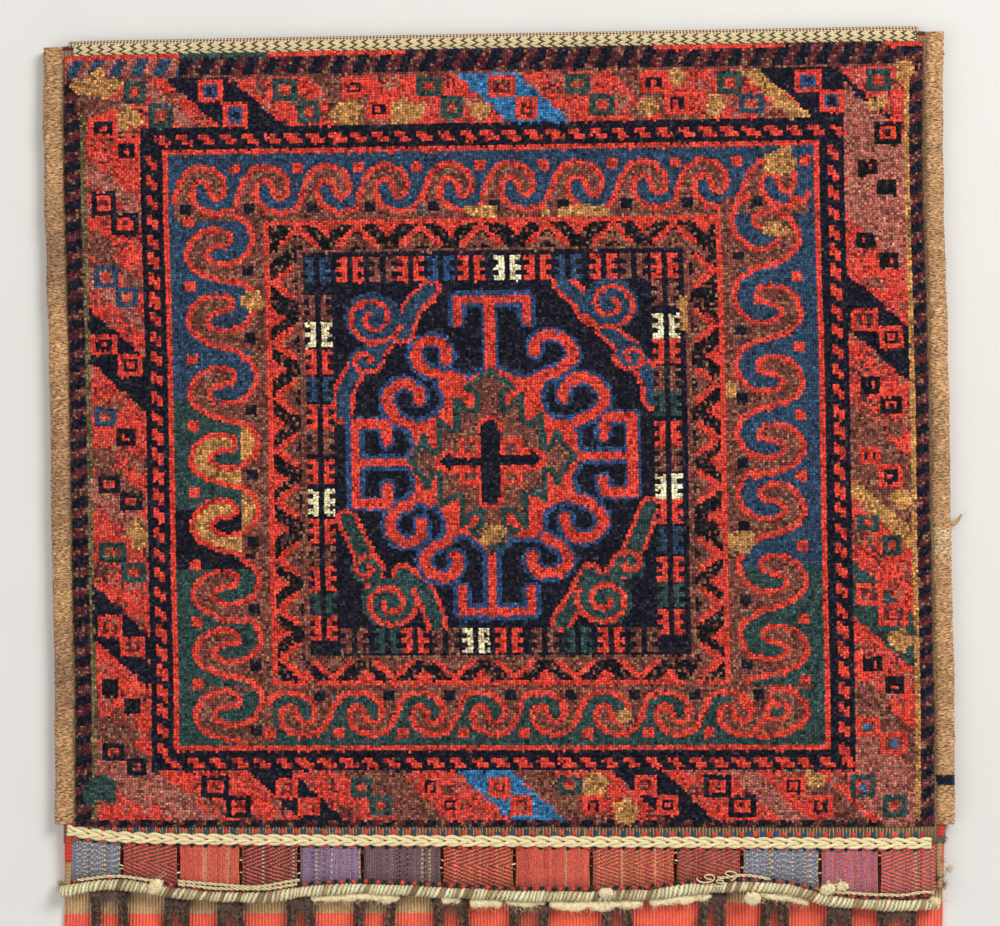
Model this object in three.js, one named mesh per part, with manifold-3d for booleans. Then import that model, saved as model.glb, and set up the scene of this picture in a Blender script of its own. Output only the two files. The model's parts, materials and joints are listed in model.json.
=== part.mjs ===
// A double saddle bag (khorjin), laid flat and open on the floor.
// One woven web runs from mouth to mouth: it is the bridge in the middle and the back of both pouches,
// and it folds round at each far end into the front of a pouch. Each front carries a knotted wool pile.
// The web is built as plain slabs, back, fold, front and sewn sides, so that each pocket stays hollow.
// Millimetres, +Z up. The origin is under the middle of the bridge, and +Y runs to the first pouch.
// The second pouch is the first one turned half a turn about the Z axis.

import * as THREE from 'three';
import { mergeVertices } from 'three/addons/utils/BufferGeometryUtils.js';
import Module from 'manifold-3d';

const wasm = await Module();
wasm.setup();

// ---- driving dimensions ----

const GAP = 0.3; // clearance between pieces that touch in the real bag
const WEB = 2.6; // thickness of the woven web
const POCKET = 8; // height of the empty pocket between back and front
const EDGE = 6; // thickness of the two webs where they are sewn together at the sides
const EDGE_FOOT = 3.4; // height of that sewn edge above the floor
const EDGE_INSET = 7.8; // from that edge's outside in to where it leaves the back

const MOUTH_Y = 130; // middle of the bridge to the mouth of a pouch
const FOLD_Y = 723; // middle of the bridge to the fold at the far end
const FOLD_TILT = 0.018; // how far the fold leans, in mm of Y for each mm of X
const WEB_HALF_WIDTH = 305;
const SHOULDER = 264; // half width of the level part of a pouch
const SEAM = 296; // half width at which the slope of a pouch meets its sewn edge
const FRONT_HALF_WIDTH = 268; // of the slab that is the front, where the sewn sides begin
const BACK_HALF_WIDTH = 295.7; // of the back under a pouch, between the bindings
const NARROWING = 32; // length over which the back narrows from the bridge to that

const FRONT_TOP = WEB + POCKET + WEB;
const FOLD_RADIUS = FRONT_TOP / 2;

const PILE_HEIGHT = 4.3;
const PILE_HALF_WIDTH = 296.4;
const PILE_BOTTOM_Y = 175; // edge of the pile nearest the mouth
const PILE_SETBACK = 11; // edge of the pile to the fold

const BINDING_WIDTH = 14;
const BINDING_HEIGHT = 12.8;
const BINDING_HALF_WIDTH = 304.5; // middle of the pouch to the middle of the binding
const BINDING_START_Y = 176.5;
const BINDING_SETBACK = 4.5; // end of the binding to the fold
const GROOVE_SLACK = 1.2; // depth of the binding's groove beyond the sewn edge

const ROLL_DIAMETER = 9; // overcast roll along the mouth
const ROLL_Z = 12.2;
const ROLL_SLACK = 1.4; // between the roll and the edge of the front
const ROLL_HALF_LENGTH = 303;

const SLIT_WIDTH = 1.4;
const SLIT_LENGTH = 20;
const SLIT_MIDDLE_Y = 150;
const SLITS_X = [-261, -222, -179, -139, -95, -40, 10, 63, 121, 167, 221, 262];

const TWINING_WIDTH = 7;
const TWINING_HEIGHT = 1.4;
const CLOSURE_TWINING_Y = 165.2;

// Lines that give the bag its slightly uneven outline, each a smooth curve through a few points.
// How far the middle line of a pouch wanders sideways, as [y, x].
const MIDDLE_LINE = [[0, 0], [130, 2.7], [250, 3.4], [350, 1.4], [500, -1], [620, -4.3], [723, -4.5]];
// How far the mouth wanders from MOUTH_Y, as [x, y].
const MOUTH_LINE = [
  [-305, 0], [-265, 5], [-222, -1], [-172, -4], [-110, 2], [-48, 0],
  [20, -3], [97, -2], [150, 3], [195, 2], [240, -8], [305, -9],
];

// The closure loops: braided goat hair cords that lie in a hairpin on the bridge.
const LOOP_DIAMETER = 6.6;
const LOOP_SIDES = 8;
const LOOP_LIFT = WEB + GAP + LOOP_DIAMETER / 2 + 0.2;
const LOOP_START = ROLL_DIAMETER / 2 + 0.8; // mouth line to the ends of a loop
const LOOP_BEND_V = 58; // along the loop, where the legs turn into its round end
// The route of one loop: [sideways from its middle, away from the mouth]
const LOOP_ROUTE = [
  [-5, 0], [-5.2, 9], [-6, 19], [-7.8, 30], [-10.4, 41], [-12.6, 50], [-13.2, 58],
  [-12.2, 63.1], [-9.3, 67.4], [-5, 70.3], [0, 71.2], [5, 70.3], [9.3, 67.4], [12.2, 63.1],
  [13.2, 58], [12.6, 50], [10.4, 41], [7.8, 30], [6, 19], [5.2, 9], [5, 0],
];
const LOOP_STEPS = 12;
// Where each loop is sewn on, how much wider its legs stand there, and how far its end leans sideways.
const LOOPS = [
  { x: -271, spread: 5, lean: 2 },
  { x: -224, spread: 0, lean: -2 },
  { x: -187, spread: 0.5, lean: 1 },
  { x: -139, spread: 1, lean: 4 },
  { x: -86, spread: 7, lean: -3 },
  { x: -35, spread: 4, lean: 5 },
  { x: 21, spread: 6, lean: -4 },
  { x: 80, spread: 2, lean: 6 },
  { x: 148, spread: 0, lean: -5 },
  { x: 191, spread: 0.5, lean: -3 },
  { x: 235, spread: 0, lean: 1 },
  { x: 275, spread: 5, lean: 2 },
];

// ---- materials ----

const kilimWool = () => new THREE.MeshStandardMaterial({ color: 0xa8322a, roughness: 0.9, metalness: 0 });
const pileWool = () => new THREE.MeshStandardMaterial({ color: 0x8a3a32, roughness: 0.95, metalness: 0 });
const goatHair = () => new THREE.MeshStandardMaterial({ color: 0xa98050, roughness: 0.95, metalness: 0 });
const darkHair = () => new THREE.MeshStandardMaterial({ color: 0x3a2c26, roughness: 0.95, metalness: 0 });
const ivoryWool = () => new THREE.MeshStandardMaterial({ color: 0xe4d6b0, roughness: 0.9, metalness: 0 });

// ---- tools ----

// A smooth line through a few [a, b] points, as a function from a to b: a cubic between each two points,
// whose slope at a point is that of the line between its two neighbours.
function smoothLine(points) {
  const last = points.length - 1;
  const slopeAt = (i) => {
    const [before, after] = [points[Math.max(i - 1, 0)], points[Math.min(i + 1, last)]];
    return (after[1] - before[1]) / (after[0] - before[0]);
  };
  return (at) => {
    const a = THREE.MathUtils.clamp(at, points[0][0], points[last][0]);
    const i = Math.max(points.slice(0, last).findLastIndex((p) => p[0] <= a), 0);
    const [[a0, b0], [a1, b1]] = [points[i], points[i + 1]];
    const step = a1 - a0;
    const t = (a - a0) / step;
    const ends = b0 * (2 * t ** 3 - 3 * t ** 2 + 1) + b1 * (3 * t ** 2 - 2 * t ** 3);
    const slopes = slopeAt(i) * (t ** 3 - 2 * t ** 2 + t) + slopeAt(i + 1) * (t ** 3 - t ** 2);
    return ends + slopes * step;
  };
}

const middleX = smoothLine(MIDDLE_LINE);
const mouthShift = smoothLine(MOUTH_LINE);
const mouthY = (x) => MOUTH_Y + mouthShift(x);
const foldY = (x) => FOLD_Y + FOLD_TILT * x;

// A closed body whose grid of top and bottom points comes from place(column, row, top).
function warpedBox(columns, rows, place) {
  const geometry = new THREE.BoxGeometry(1, 1, 1, columns.length - 1, rows.length - 1, 1);
  const position = geometry.attributes.position;
  for (let i = 0; i < position.count; i += 1) {
    const column = columns[Math.round((position.getX(i) + 0.5) * (columns.length - 1))];
    const row = rows[Math.round((position.getY(i) + 0.5) * (rows.length - 1))];
    position.setXYZ(i, ...place(column, row, position.getZ(i) > 0));
  }
  return plain(geometry);
}

// The same geometry with shared vertices and nothing but positions.
function plain(geometry) {
  geometry.deleteAttribute('normal');
  geometry.deleteAttribute('uv');
  return mergeVertices(geometry, 1e-4);
}

function solid(geometry) {
  const vertProperties = new Float32Array(geometry.attributes.position.array);
  const triVerts = new Uint32Array(geometry.index.array);
  return new wasm.Manifold(new wasm.Mesh({ numProp: 3, vertProperties, triVerts }));
}

function geometryOf(manifold) {
  const mesh = manifold.getMesh();
  const geometry = new THREE.BufferGeometry();
  geometry.setAttribute('position', new THREE.BufferAttribute(new Float32Array(mesh.vertProperties), 3));
  geometry.setIndex(new THREE.BufferAttribute(new Uint32Array(mesh.triVerts), 1));
  return geometry;
}

// A round bar of the given number of sides along a curve.
function bar(curve, steps, diameter, sides) {
  const section = new THREE.Shape();
  for (let i = 0; i < sides; i += 1) {
    const angle = ((i + 0.5) / sides) * 2 * Math.PI;
    const radius = diameter / 2 / Math.cos(Math.PI / sides);
    const point = [radius * Math.cos(angle), radius * Math.sin(angle)];
    section[i === 0 ? 'moveTo' : 'lineTo'](...point);
  }
  section.closePath();
  const geometry = new THREE.ExtrudeGeometry(section, { steps, extrudePath: curve, bevelEnabled: false });
  return plain(geometry);
}

function named(name, geometry, material) {
  geometry.computeVertexNormals();
  const mesh = new THREE.Mesh(geometry, material);
  mesh.name = name;
  return mesh;
}

// ---- shape of a pouch ----

// Share of the way from the shoulder of a pouch down to its sewn edge.
const slope = (across) => THREE.MathUtils.clamp((Math.abs(across) - SHOULDER) / (SEAM - SHOULDER), 0, 1);

// Height of the front of a pouch, and of the underside of its fold, at a distance from its middle line.
const frontZ = (across) => THREE.MathUtils.lerp(FRONT_TOP, EDGE_FOOT + EDGE, slope(across));
const foldFoot = (across) => (Math.abs(across) < SEAM ? 0 : EDGE_FOOT);

const SIDE = [FRONT_HALF_WIDTH, SEAM, WEB_HALF_WIDTH];
const MIDDLE = MOUTH_LINE.map(([x]) => x).filter((x) => Math.abs(x) < SHOULDER);
const FRONT = [-FRONT_HALF_WIDTH, -SHOULDER, ...MIDDLE, SHOULDER, FRONT_HALF_WIDTH];
const ALONG = [0, 0.06, 0.2, 0.35, 0.5, 0.65, 0.8, 0.92, 1];
const FOLD_ANGLES = [0, 30, 60, 80].map(THREE.MathUtils.degToRad);

// Where the slabs of a pouch begin, clear of the mouth roll, and where they end, at the fold.
const slabStart = (across) => mouthY(across) + ROLL_DIAMETER / 2 + ROLL_SLACK;
const slabEnd = (across) => foldY(across) - FOLD_RADIUS - GAP;

// The back of a pouch with half the bridge, flat on the floor.
function backHalf() {
  const columns = [-1, -0.5, 0, 0.5, 1];
  const rows = [-1, 70, MOUTH_Y + GAP, MOUTH_Y + NARROWING, 250, 350, 450, 550, 650, FOLD_Y + 20];
  return warpedBox(columns, rows, (share, row, top) => {
    const narrowed = THREE.MathUtils.clamp((row - MOUTH_Y) / NARROWING, 0, 1);
    const across = share * THREE.MathUtils.lerp(WEB_HALF_WIDTH, BACK_HALF_WIDTH, narrowed);
    const y = Math.min(row, slabEnd(across));
    return [middleX(Math.max(y, 0)) + across, y, top ? WEB : 0];
  });
}

// The long web that is the bridge and the back of both pouches.
function groundCloth() {
  const half = solid(backHalf());
  return geometryOf(half.add(half.rotate([0, 0, 180])));
}

function slit(x) {
  const box = new THREE.BoxGeometry(SLIT_WIDTH, SLIT_LENGTH, 2 * WEB);
  box.translate(x, SLIT_MIDDLE_Y, FRONT_TOP - WEB / 2);
  return solid(plain(box));
}

// The front of a pouch, with the closure slits cut in the strip along its mouth.
function pouchFront() {
  const slab = warpedBox(FRONT, ALONG, (across, share, top) => {
    const y = THREE.MathUtils.lerp(slabStart(across), slabEnd(across), share);
    return [middleX(y) + across, y, frontZ(across) - (top ? 0 : WEB)];
  });
  return geometryOf(SLITS_X.reduce((web, x) => web.subtract(slit(x)), solid(slab)));
}

// The round fold at the far end, where the back turns into the front.
function pouchFold() {
  const columns = [...SIDE.map((x) => -x).reverse(), 0, ...SIDE];
  return warpedBox(columns, FOLD_ANGLES, (across, turn, top) => {
    const [low, high] = [foldFoot(across), frontZ(across)];
    const y = foldY(across) - FOLD_RADIUS;
    const z = (low + high) / 2 + (top ? 1 : -1) * ((high - low) / 2) * Math.cos(turn);
    return [middleX(y) + across, y + FOLD_RADIUS * Math.sin(turn), z];
  });
}

// One side of a pouch (-1 left, 1 right), where front and back are sewn together.
function sideSeam(side) {
  const leaves = WEB_HALF_WIDTH - EDGE_INSET;
  const distances = [FRONT_HALF_WIDTH + GAP, SEAM, leaves, WEB_HALF_WIDTH];
  const columns = distances.map((distance) => side * distance).sort((a, b) => a - b);
  return warpedBox(columns, ALONG, (across, share, top) => {
    const y = THREE.MathUtils.lerp(slabStart(across), slabEnd(across), share);
    const foot = Math.abs(across) < leaves ? WEB + GAP : EDGE_FOOT;
    return [middleX(y) + across, y, top ? frontZ(across) : foot];
  });
}

// ---- what is on a pouch ----

// The knotted pile: a mat as thick as the knots are high, rounded off along its edges.
function knottedPile() {
  const inset = 3;
  const columns = [
    -PILE_HALF_WIDTH, -PILE_HALF_WIDTH + inset, -SHOULDER, -130, 0,
    130, SHOULDER, PILE_HALF_WIDTH - inset, PILE_HALF_WIDTH,
  ];
  const along = [0, 0.006, 0.2, 0.4, 0.6, 0.8, 0.994, 1];
  return warpedBox(columns, along, (across, share, top) => {
    const end = foldY(across) - PILE_SETBACK;
    const y = THREE.MathUtils.lerp(PILE_BOTTOM_Y, end, share);
    const rim = Math.abs(across) === PILE_HALF_WIDTH || share === 0 || share === 1;
    const height = rim ? PILE_HEIGHT * 0.55 : PILE_HEIGHT;
    return [middleX(y) + across, y, frontZ(across) + GAP + (top ? height : 0)];
  });
}

// The edge line of a pouch on one side (-1 left, 1 right), at a distance from its middle line.
function edgeCurve(side, distance, start, setback, z) {
  const end = foldY(side * distance) - setback;
  const points = [0, 0.2, 0.4, 0.6, 0.8, 1].map((share) => {
    const y = THREE.MathUtils.lerp(start, end, share);
    return new THREE.Vector3(middleX(y) + side * distance, y, z);
  });
  return new THREE.CatmullRomCurve3(points);
}

// The goat hair binding: a thick rounded bar along the sewn edge, with a groove that the edge sits in.
// Extruded towards +Y, a section's x axis points down and its y axis points to -X.
function sideBinding(side) {
  const [a, b, c] = [BINDING_WIDTH / 2, BINDING_HEIGHT / 2, 3.6];
  const corners = [
    [b, a - c], [b, c - a], [b - c, -a], [c - b, -a], [-b, c - a], [-b, a - c], [c - b, a], [b - c, a],
  ];
  const section = new THREE.Shape(corners.map(([down, left]) => new THREE.Vector2(down, left)));
  const curve = edgeCurve(side, BINDING_HALF_WIDTH, BINDING_START_Y, BINDING_SETBACK, b);
  const outside = new THREE.ExtrudeGeometry(section, { steps: 10, extrudePath: curve, bevelEnabled: false });
  const reach = WEB_HALF_WIDTH + GROOVE_SLACK;
  const groove = warpedBox([-reach, 0, reach], ALONG, (across, share, top) => {
    const y = THREE.MathUtils.lerp(BINDING_START_Y - 10, FOLD_Y + 20, share);
    return [middleX(y) + across, y, EDGE_FOOT + (top ? EDGE + GAP : -GAP)];
  });
  return geometryOf(solid(plain(outside)).subtract(solid(groove)));
}

// The overcast roll that finishes the mouth, along the wandering mouth line.
function mouthRoll() {
  const points = MOUTH_LINE.map(([x]) => {
    const along = THREE.MathUtils.clamp(x, -ROLL_HALF_LENGTH, ROLL_HALF_LENGTH);
    return new THREE.Vector3(along, mouthY(along), ROLL_Z);
  });
  return bar(new THREE.CatmullRomCurve3(points), 26, ROLL_DIAMETER, 8);
}

// A flat twined band across the front, at its own line of Y, a little proud of the web.
function closureTwining() {
  const columns = [-SEAM + 4, -SHOULDER, -130, 0, 130, SHOULDER, SEAM - 4];
  return warpedBox(columns, [-0.5, 0.5], (across, row, top) => {
    const y = CLOSURE_TWINING_Y + row * TWINING_WIDTH;
    return [middleX(y) + across, y, frontZ(across) + GAP + (top ? TWINING_HEIGHT : 0)];
  });
}

// The twined band that follows the round of the fold.
function foldTwining() {
  const columns = [-SEAM + 4, -SHOULDER, -130, 0, 130, SHOULDER, SEAM - 4];
  const turns = [-6, 20, 46].map(THREE.MathUtils.degToRad);
  return warpedBox(columns, turns, (across, turn, top) => {
    const centre = foldY(across) - FOLD_RADIUS;
    const half = (frontZ(across) - foldFoot(across)) / 2;
    const lift = (top ? TWINING_HEIGHT : 0) + 2 * GAP;
    const z = frontZ(across) - half + (half + lift) * Math.cos(turn);
    return [middleX(centre) + across, centre + (FOLD_RADIUS + lift) * Math.sin(turn), z];
  });
}

// One closure loop: the shared route, with its own spread at the root and its own lean.
function closureLoop({ x, spread, lean }) {
  const start = mouthY(x) - LOOP_START;
  const points = LOOP_ROUTE.map(([sideways, away]) => {
    const open = spread * Math.sign(sideways) * Math.max(0, 1 - away / LOOP_BEND_V);
    const leaning = lean * (away / LOOP_BEND_V);
    return new THREE.Vector3(x + sideways + open + leaning, start - away, LOOP_LIFT);
  });
  return bar(new THREE.CatmullRomCurve3(points), LOOP_STEPS, LOOP_DIAMETER, LOOP_SIDES);
}

// Everything of one pouch except its back, as a group.
function pouch(letter) {
  const group = new THREE.Group();
  group.add(named(`pouch_front_${letter}`, pouchFront(), kilimWool()));
  group.add(named(`pouch_fold_${letter}`, pouchFold(), kilimWool()));
  group.add(named(`side_seam_${letter}_left`, sideSeam(-1), kilimWool()));
  group.add(named(`side_seam_${letter}_right`, sideSeam(1), kilimWool()));
  group.add(named(`knotted_pile_${letter}`, knottedPile(), pileWool()));
  group.add(named(`side_binding_${letter}_left`, sideBinding(-1), goatHair()));
  group.add(named(`side_binding_${letter}_right`, sideBinding(1), goatHair()));
  group.add(named(`mouth_roll_${letter}`, mouthRoll(), ivoryWool()));
  group.add(named(`closure_twining_${letter}`, closureTwining(), ivoryWool()));
  group.add(named(`fold_twining_${letter}`, foldTwining(), ivoryWool()));
  LOOPS.forEach((loop, i) => {
    const number = String(i + 1).padStart(2, '0');
    group.add(named(`closure_loop_${letter}_${number}`, closureLoop(loop), darkHair()));
  });
  return group;
}

const saddleBag = new THREE.Group();
saddleBag.name = 'saddle_bag';
saddleBag.add(named('ground_cloth', groundCloth(), kilimWool()));
const firstPouch = pouch('a');
const secondPouch = pouch('b');
secondPouch.rotation.z = Math.PI;
saddleBag.add(firstPouch, secondPouch);

export default saddleBag;
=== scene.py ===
# A double saddle bag laid flat and open: one woven web folded into two pouches, knotted wool fronts,
# goat hair bindings, overcast mouths and braided closure loops. The packed frame gives its sizes.
# Shapes are worked out in millimetres and turned to metres when a mesh is made. Pouch "b" is pouch "a"
# turned half a turn about the Z axis, with yarns of its own.
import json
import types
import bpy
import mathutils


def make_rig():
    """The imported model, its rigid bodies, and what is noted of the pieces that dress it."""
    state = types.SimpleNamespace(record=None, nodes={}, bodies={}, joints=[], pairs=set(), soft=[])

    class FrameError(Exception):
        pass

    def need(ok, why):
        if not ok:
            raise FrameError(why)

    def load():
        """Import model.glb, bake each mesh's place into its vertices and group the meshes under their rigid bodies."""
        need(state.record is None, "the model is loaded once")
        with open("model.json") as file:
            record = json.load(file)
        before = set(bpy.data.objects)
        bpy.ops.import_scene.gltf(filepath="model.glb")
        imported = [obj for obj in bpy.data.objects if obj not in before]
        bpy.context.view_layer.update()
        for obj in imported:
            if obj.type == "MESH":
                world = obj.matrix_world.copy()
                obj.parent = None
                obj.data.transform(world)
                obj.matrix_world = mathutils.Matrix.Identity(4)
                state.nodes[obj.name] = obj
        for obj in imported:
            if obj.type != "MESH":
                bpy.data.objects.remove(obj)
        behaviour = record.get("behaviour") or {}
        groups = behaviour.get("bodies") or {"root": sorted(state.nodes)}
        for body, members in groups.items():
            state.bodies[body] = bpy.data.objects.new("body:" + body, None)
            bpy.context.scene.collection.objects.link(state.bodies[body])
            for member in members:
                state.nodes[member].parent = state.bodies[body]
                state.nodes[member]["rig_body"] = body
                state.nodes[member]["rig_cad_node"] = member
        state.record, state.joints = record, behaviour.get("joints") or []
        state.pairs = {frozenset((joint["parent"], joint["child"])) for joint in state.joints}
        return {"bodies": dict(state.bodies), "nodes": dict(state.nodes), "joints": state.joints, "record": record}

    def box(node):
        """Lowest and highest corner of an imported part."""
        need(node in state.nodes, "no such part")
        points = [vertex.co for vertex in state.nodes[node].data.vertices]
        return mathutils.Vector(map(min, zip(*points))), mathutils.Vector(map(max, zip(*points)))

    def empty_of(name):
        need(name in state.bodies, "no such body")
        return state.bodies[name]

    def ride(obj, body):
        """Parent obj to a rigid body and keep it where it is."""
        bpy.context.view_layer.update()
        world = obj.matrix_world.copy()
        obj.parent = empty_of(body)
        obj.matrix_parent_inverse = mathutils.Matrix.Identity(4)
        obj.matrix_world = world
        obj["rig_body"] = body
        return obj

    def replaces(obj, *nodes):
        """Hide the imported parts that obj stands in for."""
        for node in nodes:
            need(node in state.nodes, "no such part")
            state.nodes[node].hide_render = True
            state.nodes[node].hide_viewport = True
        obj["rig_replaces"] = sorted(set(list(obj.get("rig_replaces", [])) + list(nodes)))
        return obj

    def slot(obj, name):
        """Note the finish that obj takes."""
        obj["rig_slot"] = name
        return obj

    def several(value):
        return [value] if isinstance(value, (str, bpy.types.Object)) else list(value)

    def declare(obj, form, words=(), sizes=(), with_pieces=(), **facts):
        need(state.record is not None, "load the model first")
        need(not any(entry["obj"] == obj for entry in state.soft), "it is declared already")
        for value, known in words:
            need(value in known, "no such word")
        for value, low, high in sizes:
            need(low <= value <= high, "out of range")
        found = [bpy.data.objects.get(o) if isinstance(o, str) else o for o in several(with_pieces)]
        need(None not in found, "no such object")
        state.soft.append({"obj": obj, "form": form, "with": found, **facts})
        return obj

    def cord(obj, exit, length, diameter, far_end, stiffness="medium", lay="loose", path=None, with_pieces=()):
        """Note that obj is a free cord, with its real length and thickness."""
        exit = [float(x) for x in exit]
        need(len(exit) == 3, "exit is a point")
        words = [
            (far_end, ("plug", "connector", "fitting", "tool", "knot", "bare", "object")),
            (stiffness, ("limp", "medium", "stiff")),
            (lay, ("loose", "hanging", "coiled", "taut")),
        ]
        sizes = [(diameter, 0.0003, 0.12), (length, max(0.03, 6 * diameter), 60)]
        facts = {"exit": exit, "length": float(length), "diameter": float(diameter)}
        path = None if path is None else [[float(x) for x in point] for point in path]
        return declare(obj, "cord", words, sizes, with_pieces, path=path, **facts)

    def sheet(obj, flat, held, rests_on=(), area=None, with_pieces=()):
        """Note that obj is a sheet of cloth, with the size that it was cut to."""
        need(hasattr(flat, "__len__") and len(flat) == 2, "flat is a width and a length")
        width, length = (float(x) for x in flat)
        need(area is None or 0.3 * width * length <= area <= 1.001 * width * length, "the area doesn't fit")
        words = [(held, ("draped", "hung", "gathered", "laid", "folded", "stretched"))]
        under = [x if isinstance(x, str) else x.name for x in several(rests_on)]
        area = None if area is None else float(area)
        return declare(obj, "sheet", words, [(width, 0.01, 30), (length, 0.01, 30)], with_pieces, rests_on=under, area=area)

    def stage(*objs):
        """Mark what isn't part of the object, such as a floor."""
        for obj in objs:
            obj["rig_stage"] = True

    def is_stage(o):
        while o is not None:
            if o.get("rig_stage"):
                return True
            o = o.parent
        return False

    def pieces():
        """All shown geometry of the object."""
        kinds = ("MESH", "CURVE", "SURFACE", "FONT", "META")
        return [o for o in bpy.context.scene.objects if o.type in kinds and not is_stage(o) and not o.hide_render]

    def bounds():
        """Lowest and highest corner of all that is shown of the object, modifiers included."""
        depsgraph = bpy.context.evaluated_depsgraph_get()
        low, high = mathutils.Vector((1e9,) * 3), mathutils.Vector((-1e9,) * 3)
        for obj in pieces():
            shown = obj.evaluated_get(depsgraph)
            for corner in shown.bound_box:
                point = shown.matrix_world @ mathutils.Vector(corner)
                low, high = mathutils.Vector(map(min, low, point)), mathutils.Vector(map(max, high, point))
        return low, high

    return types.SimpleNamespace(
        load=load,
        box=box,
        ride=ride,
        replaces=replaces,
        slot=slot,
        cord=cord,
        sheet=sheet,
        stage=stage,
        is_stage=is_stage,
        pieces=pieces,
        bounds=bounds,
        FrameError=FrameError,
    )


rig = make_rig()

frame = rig.load()

import functools
import json
import math

import bpy
import numpy as np
from bpy.props import FloatProperty, FloatVectorProperty, IntProperty, PointerProperty
from mathutils import Euler, Vector

bl_info = {
    "name": "Woven Saddle Bag",
    "version": (1, 0, 0),
    "blender": (4, 5, 0),
    "location": "View3D > Sidebar > Saddle Bag",
    "description": "Builds the web, pile, bindings, closure and loops of a double saddle bag",
    "category": "Add Mesh",
}


# ---- sizes, in millimetres ----

MM = 0.001
BODY = "root"
POUCHES = ("a", "b")
CAD_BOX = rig.bounds()


def height_of(node):
    """Height of a node's box in millimetres."""
    low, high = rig.box(node)
    return (high[2] - low[2]) / MM


def top_of(node):
    """Height of a node's highest point above the floor in millimetres."""
    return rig.box(node)[1][2] / MM


WEB = height_of("ground_cloth")
FRONT_TOP = top_of("pouch_front_a")
FOLD_RADIUS = FRONT_TOP / 2
ROLL = height_of("mouth_roll_a")
ROLL_Z = top_of("mouth_roll_a") - ROLL / 2
BINDING_HEIGHT = height_of("side_binding_a_left")
LOOP = height_of("closure_loop_a_01")
LOOP_Z = top_of("closure_loop_a_01") - LOOP / 2

# The mouth and the fold at the middle, as distances from the bridge's middle, and the fold's slope.
MOUTH_Y = 130.0
FOLD_Y = 723.0
FOLD_TILT = 0.018
# Across a pouch: half the web, where its front starts to slope down, and where it meets the back.
WEB_HALF = 305.0
SHOULDER = 264.0
SEAM = 296.0
# Heights of the sewn edge: its top, and how far its back is lifted off the floor, from LIFT_START out.
EDGE_TOP = 9.4
EDGE_FOOT = 3.4
LIFT_START = 286.0
# How much thinner the web is than the plain one, so that what lies on it stays clear.
WEB_CLEARANCE = 0.4
# The pile: half its width, where it starts, how far short of the fold it ends, and its lift.
PILE_HALF = 296.4
PILE_BOTTOM = 175.0
PILE_SETBACK = 11.0
PILE_LIFT = 0.3
# The side bindings: their distance from the middle, width, start, and how far short of the fold they end.
BINDING_HALF = 304.5
BINDING_WIDTH = 14.0
BINDING_START = 176.5
BINDING_SETBACK = 4.5
# The closure strip: half the roll's length, the twining's line, the tabs' top, and the slits between them.
ROLL_HALF = 303.0
TWINING_Y = 165.2
TAB_TOP_Y = 164.5
SLITS = (-261, -222, -179, -139, -95, -40, 10, 63, 121, 167, 221, 262)
SLIT_WIDTH = 1.4
# The radius on which the yarns round the fold are counted.
FOLD_YARN_RADIUS = 6.6
# No hair stands higher than this.
HAIR_TOP = 23.0
# How far a pouch's middle wanders from the straight line, and the mouth from its level, as the cloth lies.
MIDDLE_LINE = ((0, 0), (130, 2.7), (250, 3.4), (350, 1.4), (500, -1), (620, -4.3), (723, -4.5))
MOUTH_LINE = (
    (-305, 0), (-265, 5), (-222, -1), (-172, -4), (-110, 2), (-48, 0), (20, -3), (97, -2), (150, 3),
    (195, 2), (240, -8), (305, -9),
)

# One loop's route: sideways from its middle, and away from the mouth. Then the place of each loop on
# the mouth, how much wider its legs stand there, and how far its end leans.
LOOP_START = 5.3
LOOP_BEND = 58.0
LOOP_ROUTE = (
    (-5, 0), (-5.2, 9), (-6, 19), (-7.8, 30), (-10.4, 41), (-12.6, 50), (-13.2, 58), (-12.2, 63.1),
    (-9.3, 67.4), (-5, 70.3), (0, 71.2), (5, 70.3), (9.3, 67.4), (12.2, 63.1), (13.2, 58), (12.6, 50),
    (10.4, 41), (7.8, 30), (6, 19), (5.2, 9), (5, 0),
)
LOOPS = (
    (-271, 5, 2), (-224, 0, -2), (-187, 0.5, 1), (-139, 1, 4), (-86, 7, -3), (-35, 4, 5), (21, 6, -4),
    (80, 2, 6), (148, 0, -5), (191, 0.5, -3), (235, 0, 1), (275, 5, 2),
)


# ---- dyes, as sRGB hex values ----

DYES = {
    "red": "D83F2F", "deep_red": "C8443A", "maroon": "5A2226", "mauve": "A4584C", "brown": "753D33",
    "dark_brown": "3F241E", "navy": "0C0F1E", "black": "0A0A10", "steel": "29415A", "blue": "2A466E",
    "bright_blue": "336C9A", "teal": "2A4340", "camel": "BC8248", "ivory": "F0DCAC", "tan": "B8946A",
    "goat": "BC9064", "dark_goat": "5C4334", "violet": "8A6A8C", "olive": "6A5C3A", "coral": "EA6049",
    "rose": "CC4C48", "slate": "5F6C8C", "plum": "64485A",
}


PAPER = "D8D6D2"


def linear(code):
    """Linear red, green and blue of an sRGB hex code."""
    shares = np.array([int(code[i:i + 2], 16) for i in (0, 2, 4)]) / 255
    return np.where(shares <= 0.04045, shares / 12.92, ((shares + 0.055) / 1.055) ** 2.4)


DYE_NAMES = list(DYES)


def dye(name):
    """Linear colour of a dye, as the scene's properties have it."""
    return np.array(getattr(bpy.context.scene.saddle_bag_dyes, name)[:])


# ---- the bag's lines, as functions of whole arrays ----

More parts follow.
